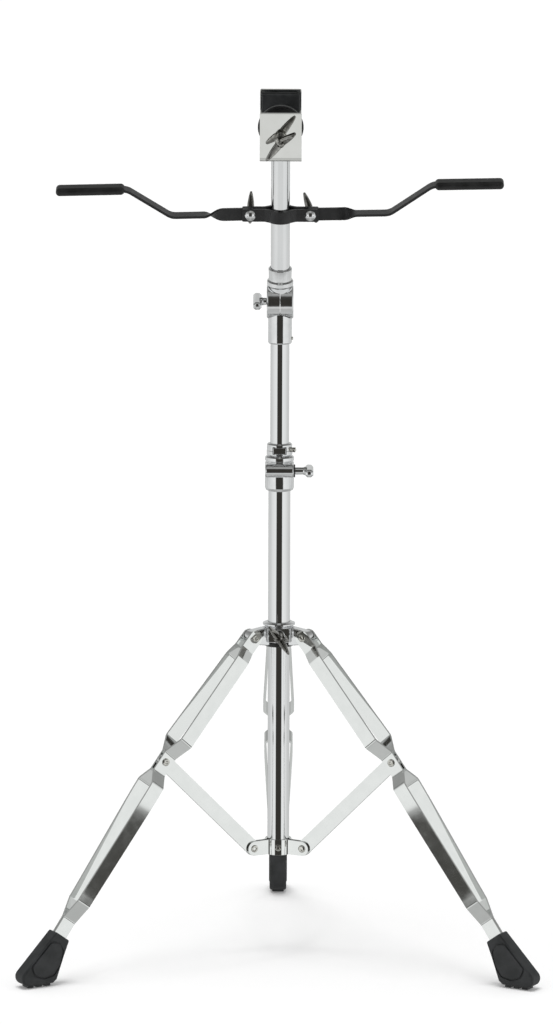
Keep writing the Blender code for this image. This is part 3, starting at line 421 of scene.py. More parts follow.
def bump(tree, shader, height, distance, strength=1.0):
    step = tree.nodes.new("ShaderNodeBump")
    step.inputs["Strength"].default_value = strength
    step.inputs["Distance"].default_value = distance
    tree.links.new(height, step.inputs["Height"])
    tree.links.new(step.outputs["Normal"], shader.inputs["Normal"])


def metal(name, colours, rough, haze_scale, ripple_scale, ripple, stretch=(1, 1, 1)):
    """Plated or bare metal: hazy patches in gloss and tone, and a slight ripple in its surface."""
    made, tree, shader = new_material(name, colours[0], 1.0, rough[0])
    haze = noise(tree, haze_scale, 5.0, stretch)
    tree.links.new(blended(tree, haze, *colours), shader.inputs["Base Color"])
    tree.links.new(ranged(tree, haze, *rough), shader.inputs["Roughness"])
    bump(tree, shader, noise(tree, ripple_scale, 2.0, stretch), ripple)
    return made


def coat(name, colours, rough, grain_scale, grain, patch_scale):
    """Powder coat, rubber or nylon: a fine grain over uneven tone and gloss."""
    made, tree, shader = new_material(name, colours[0], 0.0, rough[0])
    patch = noise(tree, patch_scale, 6.0)
    tree.links.new(blended(tree, patch, *colours), shader.inputs["Base Color"])
    tree.links.new(ranged(tree, patch, *rough), shader.inputs["Roughness"])
    bump(tree, shader, noise(tree, grain_scale, 3.0), grain)
    return made


CHROME_TONES = ((0.86, 0.87, 0.88), (0.91, 0.91, 0.92))
MATERIALS = {
    "tube": metal("chrome_tube", CHROME_TONES, (0.035, 0.06), 60, 9, 0.00002, (1, 1, 0.15)),
    "cast": metal("chrome_casting", ((0.82, 0.83, 0.84), (0.89, 0.89, 0.90)), (0.05, 0.10),
                  140, 130, 0.00006),
    "plate": metal("chrome_plate", ((0.88, 0.88, 0.855), (0.92, 0.92, 0.90)), (0.04, 0.07), 70, 30,
                   0.00004),
    # Wing screws and nuts: chrome given a dark base tone, a painted dark reflection of the dark
    # surroundings their blades mirror
    "wing": metal("wing_painted_dark_reflection", ((0.27, 0.265, 0.25), (0.50, 0.49, 0.47)), (0.06, 0.12), 160, 220,
                  0.00005),
    "strip": metal("chrome_strip", ((0.895, 0.91, 0.902), (0.935, 0.948, 0.94)), (0.03, 0.06), 90, 20,
                   0.00002),
    "rivet": metal("rivet_steel", ((0.70, 0.69, 0.64), (0.84, 0.83, 0.79)), (0.10, 0.18),
                   400, 900, 0.00004),
    "black": coat("black_powder_coat", ((0.010, 0.010, 0.011), (0.020, 0.020, 0.021)),
                  (0.30, 0.44), 2600, 0.00008, 120),
    "rubber": coat("boot_rubber", ((0.017, 0.019, 0.020), (0.040, 0.042, 0.044)),
                   (0.48, 0.66), 1700, 0.00012, 70),
    "sleeve": coat("sleeve_rubber", ((0.008, 0.008, 0.008), (0.018, 0.018, 0.018)),
                   (0.42, 0.56), 1500, 0.0001, 90),
    "nylon": coat("black_nylon", ((0.012, 0.012, 0.012), (0.024, 0.024, 0.024)),
                  (0.36, 0.5), 1200, 0.00006, 150),
}


# Fasteners

def rivet(name, half_grip, place):
    """A tubular rivet along local Z: a rolled rim at the low end and a dome at the high end."""
    low, high = -half_grip - GAP, half_grip + GAP
    place = place @ Matrix.Rotation(math.pi, 4, "X")
    profile = [(0, high - 0.9 * MM), (1.3 * MM, high - 0.9 * MM), (1.7 * MM, high + 1.1 * MM),
               (RIVET_HEAD * 0.8, high + 1.0 * MM), (RIVET_HEAD, high), (RIVET_RADIUS, high),
               (RIVET_RADIUS, low), (RIVET_HEAD, low), (RIVET_HEAD * 0.9, low - 0.7 * MM),
               (RIVET_HEAD * 0.6, low - 1.25 * MM), (0, low - 1.6 * MM)]
    return turned(name, profile, place, SCREW_STEPS)


def lofted(name, bm, rows, place):
    """A solid through closed rows of points, with a flat face at each end."""
    count = len(rows[0])
    for one, two in zip(rows, rows[1:]):
        for k in range(count):
            m = (k + 1) % count
            bm.faces.new((one[k], one[m], two[m], two[k]))
    bm.faces.new(rows[0])
    bm.faces.new(rows[-1])
    return raw(name, bm, place)


def squared(value):
    """Widens a sine or cosine, so that an oval of them has flatter sides."""
    return math.copysign(abs(value) ** 0.6, value)


def crowned_bar(name, outline, length, crown, place):
    """A bar along local Z of one outline, with both ends crowned."""
    bm = bmesh.new()
    ends = []
    for degrees in range(0, 91, 10):
        angle = math.radians(degrees)
        ends.append((length / 2 - crown + crown * math.sin(angle), 0.06 + 0.94 * math.cos(angle)))
    stations = [(-height, scale) for height, scale in reversed(ends)] + ends
    rows = [[bm.verts.new((scale * x, scale * y, height)) for x, y in outline]
            for height, scale in stations]
    return lofted(name, bm, rows, place)


def wing(name, side, tip_x, tip_z, place):
    """One cast blade: thick at the hub, thin and round at its tip."""
    start, stop = Vector((1.0 * MM, 4.4 * MM)), Vector((tip_x, tip_z))
    along = (stop - start).normalized()
    square = Vector((-along.y, along.x))
    reach = (stop - start).length + WING_TIP
    bm = bmesh.new()
    rows = []
    steps, around = 22, 24
    for i in range(steps):
        t = math.sin(math.pi / 2 * (i + 0.001) / steps)
        ahead = reach * t
        beyond = max(ahead - reach + WING_TIP, 0.0)
        tall = (3.4 * MM + 0.9 * MM * t) * math.sqrt(1 - (beyond / WING_TIP) ** 2)
        thick = 0.9 * MM + 2.8 * MM * (1 - t ** 2)
        middle = start + along * ahead
        row = []
        for k in range(around):
            angle = 2 * math.pi * k / around
            spot = middle + square * (tall * squared(math.cos(angle)))
            row.append(bm.verts.new((side * spot.x, thick * squared(math.sin(angle)), spot.y)))
        rows.append(row)
    return lofted(name, bm, rows, place)


def thread(radius, low, high, pitch=1.25 * MM):
    """A screw's flank from high to low, as a row of fine ridges."""
    count = int((high - low) / pitch)
    points = []
    for i in range(count):
        top = high - i * pitch
        points += [(radius, top), (radius - 0.5 * MM, top - pitch / 2)]
    return points + [(radius - 0.2 * MM, low + 0.2 * MM)]


def wing_fastener(node, place, shank_radius, shank_low, bore=0.0, tip_x=16.5 * MM,
                  tip_z=14.0 * MM):
    """A wing screw, or with a bore a wing nut. The hub sits at local Z = 0 and up."""
    hub, tall = 5.0 * MM, 10.0 * MM
    profile = [(0, tall + 1.5 * MM), (2.0 * MM, tall + 1.3 * MM), (hub * 0.7, tall * 0.95),
               (hub * 0.85, tall * 0.7), (hub, 2.0 * MM), (hub + 0.8 * MM, 0.6 * MM),
               (hub + 0.8 * MM, 0)]
    if shank_low < 0:
        profile += [(shank_radius, 0)] + thread(shank_radius, shank_low, -1.0 * MM)
        profile += [(0, shank_low)]
    else:
        profile += [(0, 0)]
    screw = turned(node, profile, place, SCREW_STEPS, soft=0.15 * MM)
    for side in (-1, 1):
        join(screw, wing(node + "_wing", side, tip_x, tip_z, place))
    if bore > 0:
        cut(screw, rod(node + "_bore", bore, -1 * MM, tall + 3 * MM, place))
    # Finished in the dark-toned chrome, whose low base tone is a painted dark reflection
    piece(screw, node, "wing")


def t_bolt(node, place, shank_radius, shank_low, neck):
    """A bolt with an eight-sided cross bar for a grip."""
    bar_centre = neck + GRIP_WIDTH / 2
    profile = [(0, bar_centre + 3.0 * MM), (3.6 * MM, bar_centre + 2.0 * MM),
               (4.2 * MM, neck + 0.6 * MM), (4.2 * MM, neck - 0.6 * MM), (3.7 * MM, neck - 2.0 * MM),
               (3.7 * MM, 0), (shank_radius, 0), (shank_radius, shank_low), (0, shank_low)]
    bolt = turned(node, profile, place, SCREW_STEPS)
    x, z, c = GRIP_HEIGHT / 2, GRIP_WIDTH / 2, 2.2 * MM
    outline = [(x - c, -z), (x, c - z), (x, z - c), (x - c, z),
               (c - x, z), (-x, z - c), (-x, c - z), (c - x, -z)]
    turn = shifted(z=bar_centre) @ Matrix.Rotation(math.radians(90), 4, "X")
    bar = crowned_bar(node + "_bar", softened(outline, 0.5 * MM, 5, closed=True), GRIP_LENGTH,
                      2.8 * MM, place @ turn)
    join(bolt, bar)
    piece(bolt, node, "cast")


# Legs

def leg_direction(angle):
    return Vector((math.sin(angle), 0.0, -math.cos(angle)))


def leg_centre(along):
    """The middle line of a leg, measured from its upper pivot down to the boot."""
    upper = leg_direction(UPPER_ANGLE)
    if along <= UPPER_LENGTH:
        return upper * along
    return upper * UPPER_LENGTH + leg_direction(LOWER_ANGLE) * (along - UPPER_LENGTH)


def rounded_half_width(half, beyond):
    return math.sqrt(max(half ** 2 - beyond ** 2, (0.12 * half) ** 2))


def round_end(half):
    """Distances beyond a round end's centre, from its tip inwards."""
    return [half * math.cos(math.radians(angle)) for angle in range(0, 91, 6)]


def smooth_step(value, start, end):
    t = min(max((value - start) / (end - start), 0.0), 1.0)
    return t * t * (3 - 2 * t)


def straight(start, stop, first, last, bulge, late=0.0):
    """A strip's run between two bends: nearly straight, with a slight outward curve."""
    steps = 20
    slopes = [smooth_step(i / steps, 0.0, 0.22) * (1 - late * smooth_step(i / steps, 0.78, 1.0))
              for i in range(steps + 1)]
    run = []
    for i in range(steps + 1):
        t = i / steps
        done = (sum(slopes[:i + 1]) - slopes[i] / 2) / (sum(slopes) - slopes[-1] / 2)
        out = first + (last - first) * done + bulge * math.sin(math.pi * t)
        run.append((start + (stop - start) * t, out))
    return run


def leg_strip(node, side, place):
    """One of a leg's two strips, bowed away from its twin between collar, brace and boot."""
    end = UPPER_LENGTH + LOWER_LENGTH
    pinch = BRACE_THICKNESS / 2 + GAP + STRIP_THICKNESS / 2
    at_lug = LUG_THICKNESS / 2 + GAP + STRIP_THICKNESS / 2
    closed = STRIP_THICKNESS / 2 + 0.2 * MM
    bow = [
        (0.0, at_lug), (15 * MM, at_lug), (27 * MM, 11.2 * MM),
        (UPPER_LENGTH - 26 * MM, 15.0 * MM), (UPPER_LENGTH - 9 * MM, pinch),
        (UPPER_LENGTH + 13 * MM, pinch),
        *straight(UPPER_LENGTH + 26 * MM, end - 52 * MM, 13.8 * MM, 9.2 * MM, 0.2 * MM, 0.6),
        (end - 31 * MM, closed), (end, closed),
    ]
    half = STRIP_WIDTH / 2
    stations = [(-beyond, at_lug) for beyond in round_end(half)]
    stations += [tuple(point) for point in softened(bow, 5.0 * MM, 4)[1:]]
    pairs = []
    for along, out in stations:
        near = min(max((along - UPPER_LENGTH) / (6 * MM), -1.0), 1.0) / 2 + 0.5
        angle = UPPER_ANGLE + (LOWER_ANGLE - UPPER_ANGLE) * near
        width = rounded_half_width(half, max(-along, 0.0))
        inner = Vector((math.cos(angle), 0.0, math.sin(angle))) * width
        centre = leg_centre(along) + Vector((0.0, side * out, 0.0))
        pairs.append((centre - inner, centre + inner))
    piece(ribbon(node, pairs, STRIP_THICKNESS, place), node, "strip")


def joint_rivet(node, side, place):
    inner = BRACE_THICKNESS / 2 + GAP
    outer = inner + STRIP_THICKNESS
    profile = [(0, outer + 1.0 * MM), (1.2 * MM, outer + 1.1 * MM), (1.8 * MM, outer + 1.9 * MM),
               (RIVET_HEAD * 0.75, outer + 1.6 * MM), (RIVET_HEAD, outer + 0.7 * MM),
               (RIVET_HEAD, outer + GAP), (RIVET_RADIUS, outer + GAP), (RIVET_RADIUS, inner),
               (0, inner)]
    turn = place @ Matrix.Translation(leg_centre(UPPER_LENGTH)) @ across_y()
    if side > 0:
        turn = turn @ Matrix.Rotation(math.pi, 4, "X")
    piece(turned(node, profile, turn, SCREW_STEPS, soft=0.25 * MM), node, "rivet")


def boot_corners(below_mouth):
    """The inner and outer corner of a cut square across a boot, in distance and height."""
    along = UPPER_LENGTH + LOWER_LENGTH - BOOT_GRIP + below_mouth
    middle = leg_centre(along) + Vector((COLLAR_PIVOT_R, 0, COLLAR_PIVOT_Z))
    slope = Vector((math.cos(LOWER_ANGLE), 0.0, math.sin(LOWER_ANGLE)))
    inner = middle - slope * (9.0 * MM + 0.25 * below_mouth)
    outer = middle + slope * (9.0 * MM + 0.12 * below_mouth)
    return (inner.x, inner.z), (outer.x, outer.z)


def boot_outline(below_mouth):
    inner, outer = boot_corners(below_mouth)
    outline = [inner, boot_corners(16 * MM)[0]]
    outline += [(BOOT_TREAD_IN - 6.5 * MM, 6.0 * MM), (BOOT_TREAD_IN - 2.0 * MM, TREAD_DEPTH)]
    outline += arc((BOOT_REACH - 8 * MM, TREAD_DEPTH + 8 * MM), 8 * MM, -90, 40, 10)
    outline += [outer]
    return outline


def panel_outline():
    """The raised panel on a boot's side: straight in front and round behind."""
    panel = [(290.0, 21.5), (268.0, 44.5), (259.0, 43.0), (255.5, 34.0), (259.0, 21.0),
             (265.5, 12.0), (276.0, 9.5), (286.5, 13.0)]
    return softened([(x * MM, z * MM) for x, z in panel], 5 * MM, 6, closed=True)


def grown(outline, distance):
    """A closed outline pushed outwards from its middle."""
    middle = sum((Vector(p) for p in outline), Vector((0, 0))) / len(outline)
    return [Vector(p) + (Vector(p) - middle).normalized() * distance for p in outline]


def make_boots():
    """A rubber boot pushed over the ends of each leg's two strips, shaped once for all three."""
    bench = hip_place("front_left")
    plane = bench @ shifted(-COLLAR_PIVOT_R, 0, -COLLAR_PIVOT_Z)
    origin = plane @ across_y()
    body = slab("boot", boot_outline(BOOT_NECK), BOOT_THICKNESS, origin, edge=2.4 * MM, segments=5)
    join(body, slab("boot_neck", boot_outline(0.0), BOOT_NECK_THICKNESS, origin, edge=1.4 * MM))
    panel = panel_outline()
    for sign in (-1, 1):
        spot = origin @ shifted(z=sign * (BOOT_THICKNESS / 2))
        cut(body, slab("boot_groove", grown(panel, 1.9 * MM), 2.2 * MM, spot, edge=0.4 * MM,
                       segments=2))
        join(body, slab("boot_panel", panel, 2.4 * MM, spot @ shifted(z=-sign * 0.6 * MM),
                        edge=0.6 * MM))
    for bar in range(3):
        centre = (BOOT_TREAD_IN + TREAD_BAR / 2 + bar * TREAD_PITCH, 0.0, TREAD_DEPTH)
        join(body, box("boot_tread", (TREAD_BAR, TREAD_WIDTH, 2 * TREAD_DEPTH), centre, plane,
                       edge=0.5 * MM, segments=2))
    depth = 60 * MM
    end = leg_centre(UPPER_LENGTH + LOWER_LENGTH + GAP)
    turn = bench @ Matrix.Translation(end) @ Matrix.Rotation(-LOWER_ANGLE, 4, "Y")
    cut(body, box("boot_slot", (STRIP_WIDTH + 2 * GAP, 2 * STRIP_THICKNESS + 1.0 * MM, depth),
                  (0, 0, depth / 2), turn))
    shape = finished(body)
    shape.transform(bench.inverted())
    for label in LEG_AZIMUTH:
        made = bpy.data.objects.new("boot", shape.copy())
        made.matrix_basis = hip_place(label)
        WORKSHOP.objects.link(made)
        piece(made, "boot_" + label, "rubber")


def brace(node, place, length):
    half = STRIP_WIDTH / 2
    stations = [-beyond for beyond in round_end(half)]
    stations += [length + beyond for beyond in reversed(round_end(half))]
    pairs = []
    for along in stations:
        width = rounded_half_width(half, max(-along, along - length, 0.0))
        pairs.append(((-width, 0.0, along), (width, 0.0, along)))
    piece(ribbon(node, pairs, BRACE_THICKNESS, place), node, "strip")


def leg_place(label):
    """From a leg's own plane, local XZ, to the row's frame."""
    return AXIS @ Matrix.Rotation(LEG_AZIMUTH[label], 4, "Z")


def hip_place(label):
    return leg_place(label) @ shifted(COLLAR_PIVOT_R, 0, COLLAR_PIVOT_Z)


def make_leg(label):
    hip = hip_place(label)
    for side_name, side in (("a", -1), ("b", 1)):
        leg_strip("leg_strip_" + label + "_" + side_name, side, hip)
        joint_rivet("joint_rivet_" + label + "_" + side_name, side, hip)
    node = "leg_rivet_" + label
    piece(rivet(node, LUG_THICKNESS / 2 + GAP + STRIP_THICKNESS, hip @ across_y()), node, "rivet")
    joint = leg_centre(UPPER_LENGTH) + Vector((COLLAR_PIVOT_R, 0.0, COLLAR_PIVOT_Z))
    reach = joint - Vector((BRACKET_PIVOT_R, 0.0, BRACKET_PIVOT_Z))
    lean = Matrix.Rotation(math.atan2(reach.x, reach.z), 4, "Y")
    ankle = leg_place(label) @ shifted(BRACKET_PIVOT_R, 0, BRACKET_PIVOT_Z) @ lean
    brace("brace_" + label, ankle, reach.length)
    node = "bracket_rivet_" + label
    piece(rivet(node, BRACE_THICKNESS / 2 + GAP + PLATE_THICKNESS, ankle @ across_y()), node,
          "rivet")


def bracket_plate(node, azimuth):
    """One of three plates wrapped round the base tube, with an ear on a leg at each side."""
    wrap = BASE_RADIUS + GAP + PLATE_THICKNESS / 2
    ear_offset = BRACE_THICKNESS / 2 + GAP + PLATE_THICKNESS / 2
    edge = math.degrees(math.asin(ear_offset / wrap))
    sixty = math.radians(60)

    def on_ear(distance):
        return Vector((distance * math.cos(sixty) + ear_offset * math.sin(sixty),
                       distance * math.sin(sixty) - ear_offset * math.cos(sixty)))

    half = []
    for angle in range(84, -1, -6):
        beyond = EAR_RADIUS * math.sin(math.radians(angle))
        half.append((on_ear(BRACKET_PIVOT_R + beyond), math.sqrt(EAR_RADIUS ** 2 - beyond ** 2)))
    half.append((on_ear(wrap + 2.2 * MM), PLATE_HALF_HEIGHT - 0.5 * MM))
    for spot in arc((0, 0), wrap, 60 - edge - 6, 0, 14):
        half.append((Vector(spot), PLATE_HALF_HEIGHT))
    mirrored = [(Vector((spot.x, -spot.y)), tall) for spot, tall in reversed(half[:-1])]
    pairs = [((p.x, p.y, -tall), (p.x, p.y, tall)) for p, tall in half + mirrored]
    turn = AXIS @ Matrix.Rotation(math.radians(azimuth), 4, "Z") @ shifted(z=BRACKET_PIVOT_Z)
    piece(ribbon(node, pairs, PLATE_THICKNESS, turn), node, "strip")


def make_foot_bracket():
    for node, azimuth in (("front", -90), ("left", 150), ("right", 30)):
        bracket_plate("bracket_plate_" + node, azimuth)
    face = BASE_RADIUS + GAP + PLATE_THICKNESS + GAP
    profile = [(0, face + 0.9 * MM), (1.4 * MM, face + 0.9 * MM), (1.7 * MM, face + 2.0 * MM),
               (2.2 * MM, face + 2.0 * MM), (3.3 * MM, face + 0.5 * MM), (3.3 * MM, face),
               (1.8 * MM, face), (1.8 * MM, face - 7 * MM), (0, face - 7 * MM)]
    turn = AXIS @ shifted(z=BRACKET_PIVOT_Z) @ across_y()
    piece(turned("bracket_screw", profile, turn, SCREW_STEPS, soft=0.2 * MM), "bracket_screw",
          "rivet")


# Tubes, collar, height clamp, memory lock

def make_tubes():
    tube = ring("base_tube", BASE_RADIUS - TUBE_WALL, BASE_RADIUS, BASE_BOTTOM, BASE_TOP, AXIS,
                TUBE_STEPS)
    piece(tube, "base_tube", "tube")
    inner = BASE_RADIUS - TUBE_WALL - GAP
    low = BASE_BOTTOM
    plug = [(0, low + 3.6 * MM), (inner, low + 3.6 * MM), (inner, low - GAP),
            (BASE_RADIUS, low - GAP), (BASE_RADIUS, low - 1.6 * MM),
            (BASE_RADIUS - 1.2 * MM, low - 2.6 * MM), (0, low - 2.6 * MM)]
    piece(turned("tube_plug", plug, AXIS), "tube_plug", "nylon")
    tube = ring("middle_tube", MIDDLE_RADIUS - TUBE_WALL, MIDDLE_RADIUS, MIDDLE_BOTTOM,
                SOCKET_BOTTOM + 18.7 * MM, AXIS, TUBE_STEPS)
    piece(tube, "middle_tube", "tube")
    tube = ring("top_tube", MIDDLE_RADIUS - TUBE_WALL, MIDDLE_RADIUS, 18.6 * MM + GAP,
                BRACKET_BOTTOM - GAP, LEAN, TUBE_STEPS)
    piece(tube, "top_tube", "tube")


def lug_outline():
    outline = [(12.5 * MM, -9.5 * MM), (17.0 * MM, -9.5 * MM)]
    outline += arc((COLLAR_PIVOT_R, 0), 7.2 * MM, -80, 90, 20)
    outline += [(17.0 * MM, 9.0 * MM), (12.5 * MM, 9.0 * MM)]
    return outline


def make_collar():
    low, high, body, flange = COLLAR_BOTTOM, COLLAR_TOP, 14.2 * MM, 16.4 * MM
    profile = [(0, high), (13.4 * MM, high), (flange, high - 1.4 * MM), (flange, high - 3.2 * MM),
               (body, high - 4.4 * MM), (body, low + 4.8 * MM), (15.2 * MM, low + 3.8 * MM),
               (15.2 * MM, low + 1.0 * MM), (14.2 * MM, low), (0, low)]
    collar = turned("leg_collar", profile, AXIS, soft=0.6 * MM)
    for label, azimuth in LEG_AZIMUTH.items():
        turn = AXIS @ Matrix.Rotation(azimuth, 4, "Z") @ shifted(z=COLLAR_PIVOT_Z)
        lug = slab("lug", lug_outline(), LUG_THICKNESS, turn @ across_y(), edge=0.8 * MM)
        join(collar, lug)
    half = [(10.2 * MM, -15.2 * MM), (12.4 * MM, -13.0 * MM), (15.0 * MM, -12.8 * MM),
            (15.0 * MM, -6 * MM)]
    front = [(-x, y) for x, y in reversed(half)] + half
    join(collar, slab("collar_front", front, 14.6 * MM, AXIS @ shifted(z=COLLAR_SCREW_Z - 0.4 * MM),
                      edge=0.6 * MM))
    turn = AXIS @ shifted(z=COLLAR_SCREW_Z) @ across_y()
    boss = [(0, 20.5 * MM), (6.2 * MM, 20.5 * MM), (6.2 * MM, 12.5 * MM), (0, 12.5 * MM)]
    join(collar, turned("collar_boss", boss, turn, SCREW_STEPS, soft=0.8 * MM))
    cut(collar, rod("collar_bore", BASE_RADIUS + 0.35 * MM, low - 5 * MM, high + 5 * MM, AXIS,
                    TUBE_STEPS))
    cut(collar, rod("collar_thread", 3.3 * MM + GAP, 5 * MM, 25 * MM, turn))
    made = piece(collar, "leg_collar", "cast")
    # The lowest band of the collar takes the black nylon material, so that band renders dark all
    # round
    made.data.materials.append(MATERIALS["nylon"])
    for face in made.data.polygons:
        reach = math.hypot(face.center.x, face.center.y - AXIS_Y)
        if face.center.z < low + 4.6 * MM and 13.9 * MM < reach < 15.4 * MM:
            face.material_index = 1
    hub = 25.5 * MM
    place = AXIS @ shifted(y=-hub, z=COLLAR_SCREW_Z) @ across_y(math.radians(125.5))
    wing_fastener("collar_wing_screw", place, 3.3 * MM, BASE_RADIUS + 0.35 * MM - hub,
                  tip_x=13.5 * MM, tip_z=17.0 * MM)


def make_base_clamp():
    low, high, radius = CLAMP_BOTTOM, CLAMP_TOP, CLAMP_RADIUS
    waist = radius - 0.9 * MM
    profile = [(0, high), (radius - 1.6 * MM, high), (radius, high - 1.6 * MM),
               (radius, high - 5.0 * MM), (waist, high - 5.6 * MM), (waist, high - 6.4 * MM),
               (radius, high - 7.0 * MM), (radius, low + 3.0 * MM), (waist, low + 0.9 * MM),
               (radius - 2.4 * MM, low), (0, low)]
    clamp = turned("base_clamp", profile, AXIS, TUBE_STEPS, soft=0.5 * MM)
    across = AXIS @ shifted(y=-BARREL_FRONT, z=BARREL_Z) @ along_x()
    rim = 1.1 * MM
    barrel = [(0, BARREL_HALF), (BARREL_RADIUS - 0.6 * MM, BARREL_HALF),
              (BARREL_RADIUS, BARREL_HALF - rim), (BARREL_RADIUS, rim - BARREL_HALF),
              (BARREL_RADIUS - 0.6 * MM, -BARREL_HALF), (0, -BARREL_HALF)]
    join(clamp, turned("barrel", barrel, across, ROUND_STEPS))
    step = high - 3.0 * MM
    inner = MIDDLE_RADIUS + 0.35 * MM
    wide = BASE_RADIUS + 0.3 * MM
    bore = [(0, high + 2 * MM), (inner, high + 2 * MM), (inner, step), (wide, step),
            (wide, low - 2 * MM), (0, low - 2 * MM)]
    cut(clamp, turned("clamp_bore", bore, AXIS, TUBE_STEPS, soft=0))
    cut(clamp, rod("bolt_reamer", CLAMP_BOLT_RADIUS + 0.4 * MM, -9 * MM, BARREL_HALF + 3 * MM,
                   across))
    piece(clamp, "base_clamp", "cast")
    bush = ring("base_clamp_bush", MIDDLE_RADIUS + GAP, BASE_RADIUS, BASE_TOP + GAP, step - GAP,
                AXIS)
    cut(bush, rod("bush_window", CLAMP_BOLT_RADIUS + 0.8 * MM, -20 * MM, 20 * MM, across))
    piece(bush, "base_clamp_bush", "nylon")
    shoe = rod("clamp_shoe", CLAMP_BOLT_RADIUS, -8.6 * MM, 4.9 * MM, across, soft=SOFT)
    cut(shoe, rod("shoe_scallop", MIDDLE_RADIUS + GAP, BARREL_Z - 20 * MM, BARREL_Z + 20 * MM,
                  AXIS, ROUND_STEPS))
    piece(shoe, "clamp_shoe", "rivet")
    washer = ring("clamp_washer", CLAMP_BOLT_RADIUS + 0.6 * MM, 6.6 * MM, BARREL_HALF + GAP,
                  BARREL_HALF + 1.6 * MM, across)
    piece(washer, "clamp_washer", "nylon")
    seat = BARREL_HALF + 1.6 * MM + GAP
    t_bolt("base_t_bolt", across @ shifted(z=seat), CLAMP_BOLT_RADIUS, 5.2 * MM - seat,
           25.9 * MM - seat)


def make_memory_lock():
    low, high, radius = LOCK_BOTTOM, LOCK_TOP, LOCK_RADIUS
    profile = [(radius - 1.4 * MM, high), (radius - 0.3 * MM, high - 1.2 * MM),
               (radius - 0.3 * MM, low + 5.2 * MM), (radius, low + 4.4 * MM),
               (radius, low + 0.8 * MM), (radius - 0.8 * MM, low), (MIDDLE_RADIUS + GAP, low),
               (MIDDLE_RADIUS + GAP, high)]
    lock = turned("memory_lock", profile, AXIS, closed=True)
    middle = (low + high) / 2
    cut(lock, box("lock_window", (14.2 * MM, 10 * MM, 7.8 * MM), (0, -12 * MM, middle - 0.6 * MM),
                  AXIS, edge=0.5 * MM))
    join(lock, box("lock_front", (12.8 * MM, 2.9 * MM, 6.6 * MM),
                   (0, -11.75 * MM, middle - 0.6 * MM), AXIS, edge=0.5 * MM))
    turn = AXIS @ shifted(z=middle) @ Matrix.Rotation(math.radians(-25), 4, "Z") @ along_x()
    cut(lock, rod("lock_drill", 2.3 * MM + GAP, 5 * MM, 16 * MM, turn))
    piece(lock, "memory_lock", "cast")
    screw = rod("memory_lock_screw", 2.3 * MM, MIDDLE_RADIUS + GAP, 15.6 * MM, turn, soft=SOFT)
    head = box("lock_screw_head", (3.8 * MM, 3.8 * MM, 4.0 * MM), (0, 0, 15.9 * MM),
               turn @ Matrix.Rotation(math.radians(30), 4, "Z"), edge=0.5 * MM)
    join(screw, head)
    piece(screw, "memory_lock_screw", "rivet")


# Tilter

def make_tilter():
    low = SOCKET_BOTTOM
    tube_top = low + 18.7 * MM
    shoulder = PIVOT_Z - 6 * MM
    profile = [(0, shoulder), (SOCKET_RADIUS - 2.0 * MM, shoulder),
               (SOCKET_RADIUS, shoulder - 3.0 * MM), (SOCKET_RADIUS, low + 1.2 * MM),
               (SOCKET_RADIUS - 0.9 * MM, low), (0, low)]
    lower = turned("tilter_lower", profile, AXIS, TUBE_STEPS, soft=0.6 * MM)
    pivot = AXIS @ shifted(z=PIVOT_Z)
    cut(lower, rod("right_clearance", DISC_RADIUS + 0.5 * MM, -0.2 * MM, 20 * MM,
                   pivot @ along_x(), TUBE_STEPS))
    disc = [(0, DISC_WIDTH), (DISC_RADIUS - 1.2 * MM, DISC_WIDTH),
            (DISC_RADIUS, DISC_WIDTH - 1.2 * MM), (DISC_RADIUS, 0.2 * MM), (0, 0.2 * MM)]
    join(lower, turned("left_disc", disc, pivot @ along_x(-1), TUBE_STEPS, soft=0.3 * MM))
    cut(lower, rod("socket_bore", MIDDLE_RADIUS + GAP, low - 2 * MM, tube_top + GAP, AXIS,
                   TUBE_STEPS))
    cut(lower, rod("left_disc_drill", TILTER_BOLT_RADIUS + 0.4 * MM, -2 * MM,
                   DISC_WIDTH + 2 * MM, pivot @ along_x(-1)))
    screw_z = AXIS @ shifted(z=low + 5.2 * MM) @ along_x()
    cut(lower, rod("set_screw_drill", 1.8 * MM + GAP, 5 * MM, 15 * MM, screw_z))
    piece(lower, "tilter_lower", "cast")
    profile = [(0, 12.4 * MM), (0.9 * MM, 12.4 * MM), (1.0 * MM, 13.3 * MM), (1.4 * MM, 13.2 * MM),
               (1.8 * MM, 12.3 * MM), (1.8 * MM, MIDDLE_RADIUS + GAP), (0, MIDDLE_RADIUS + GAP)]
    piece(turned("tilter_set_screw", profile, screw_z, SCREW_STEPS, soft=0.1 * MM),
          "tilter_set_screw", "rivet")
    seat = DISC_WIDTH + GAP
    place = pivot @ along_x(-1) @ shifted(z=seat) @ Matrix.Rotation(TILTER_GRIP_TURN, 4, "Z")
    t_bolt("tilter_wing_bolt", place, TILTER_BOLT_RADIUS, -seat - 9 * MM, 18.8 * MM - seat)
    top = TUBE_RING_TOP
    thin, wide = SOCKET_RADIUS - 0.5 * MM, SOCKET_RADIUS + 1.3 * MM
    profile = [(0, top), (10.9 * MM, top), (SOCKET_RADIUS, top - 1.2 * MM),
               (thin, top - 6.0 * MM), (thin, 24.5 * MM), (wide, 23.0 * MM), (wide, 19.0 * MM),
               (SOCKET_RADIUS, 17.5 * MM), (SOCKET_RADIUS, 8 * MM), (0, 8 * MM)]
    upper = turned("tilter_upper", profile, LEAN, TUBE_STEPS, soft=0.6 * MM)
    cut(upper, rod("left_clearance", DISC_RADIUS + 0.5 * MM, -0.2 * MM, 20 * MM,
                   LEAN @ along_x(-1), TUBE_STEPS))
    join(upper, turned("right_disc", disc, LEAN @ along_x(), TUBE_STEPS, soft=0.3 * MM))
    cut(upper, rod("right_disc_drill", TILTER_BOLT_RADIUS + 0.4 * MM, -2 * MM, 10 * MM,
                   LEAN @ along_x()))
    cut(upper, rod("ring_bore", MIDDLE_RADIUS + GAP, 18.6 * MM, top + 3 * MM, LEAN, TUBE_STEPS))
    piece(upper, "tilter_upper", "cast")


# Bongo clamp and arms

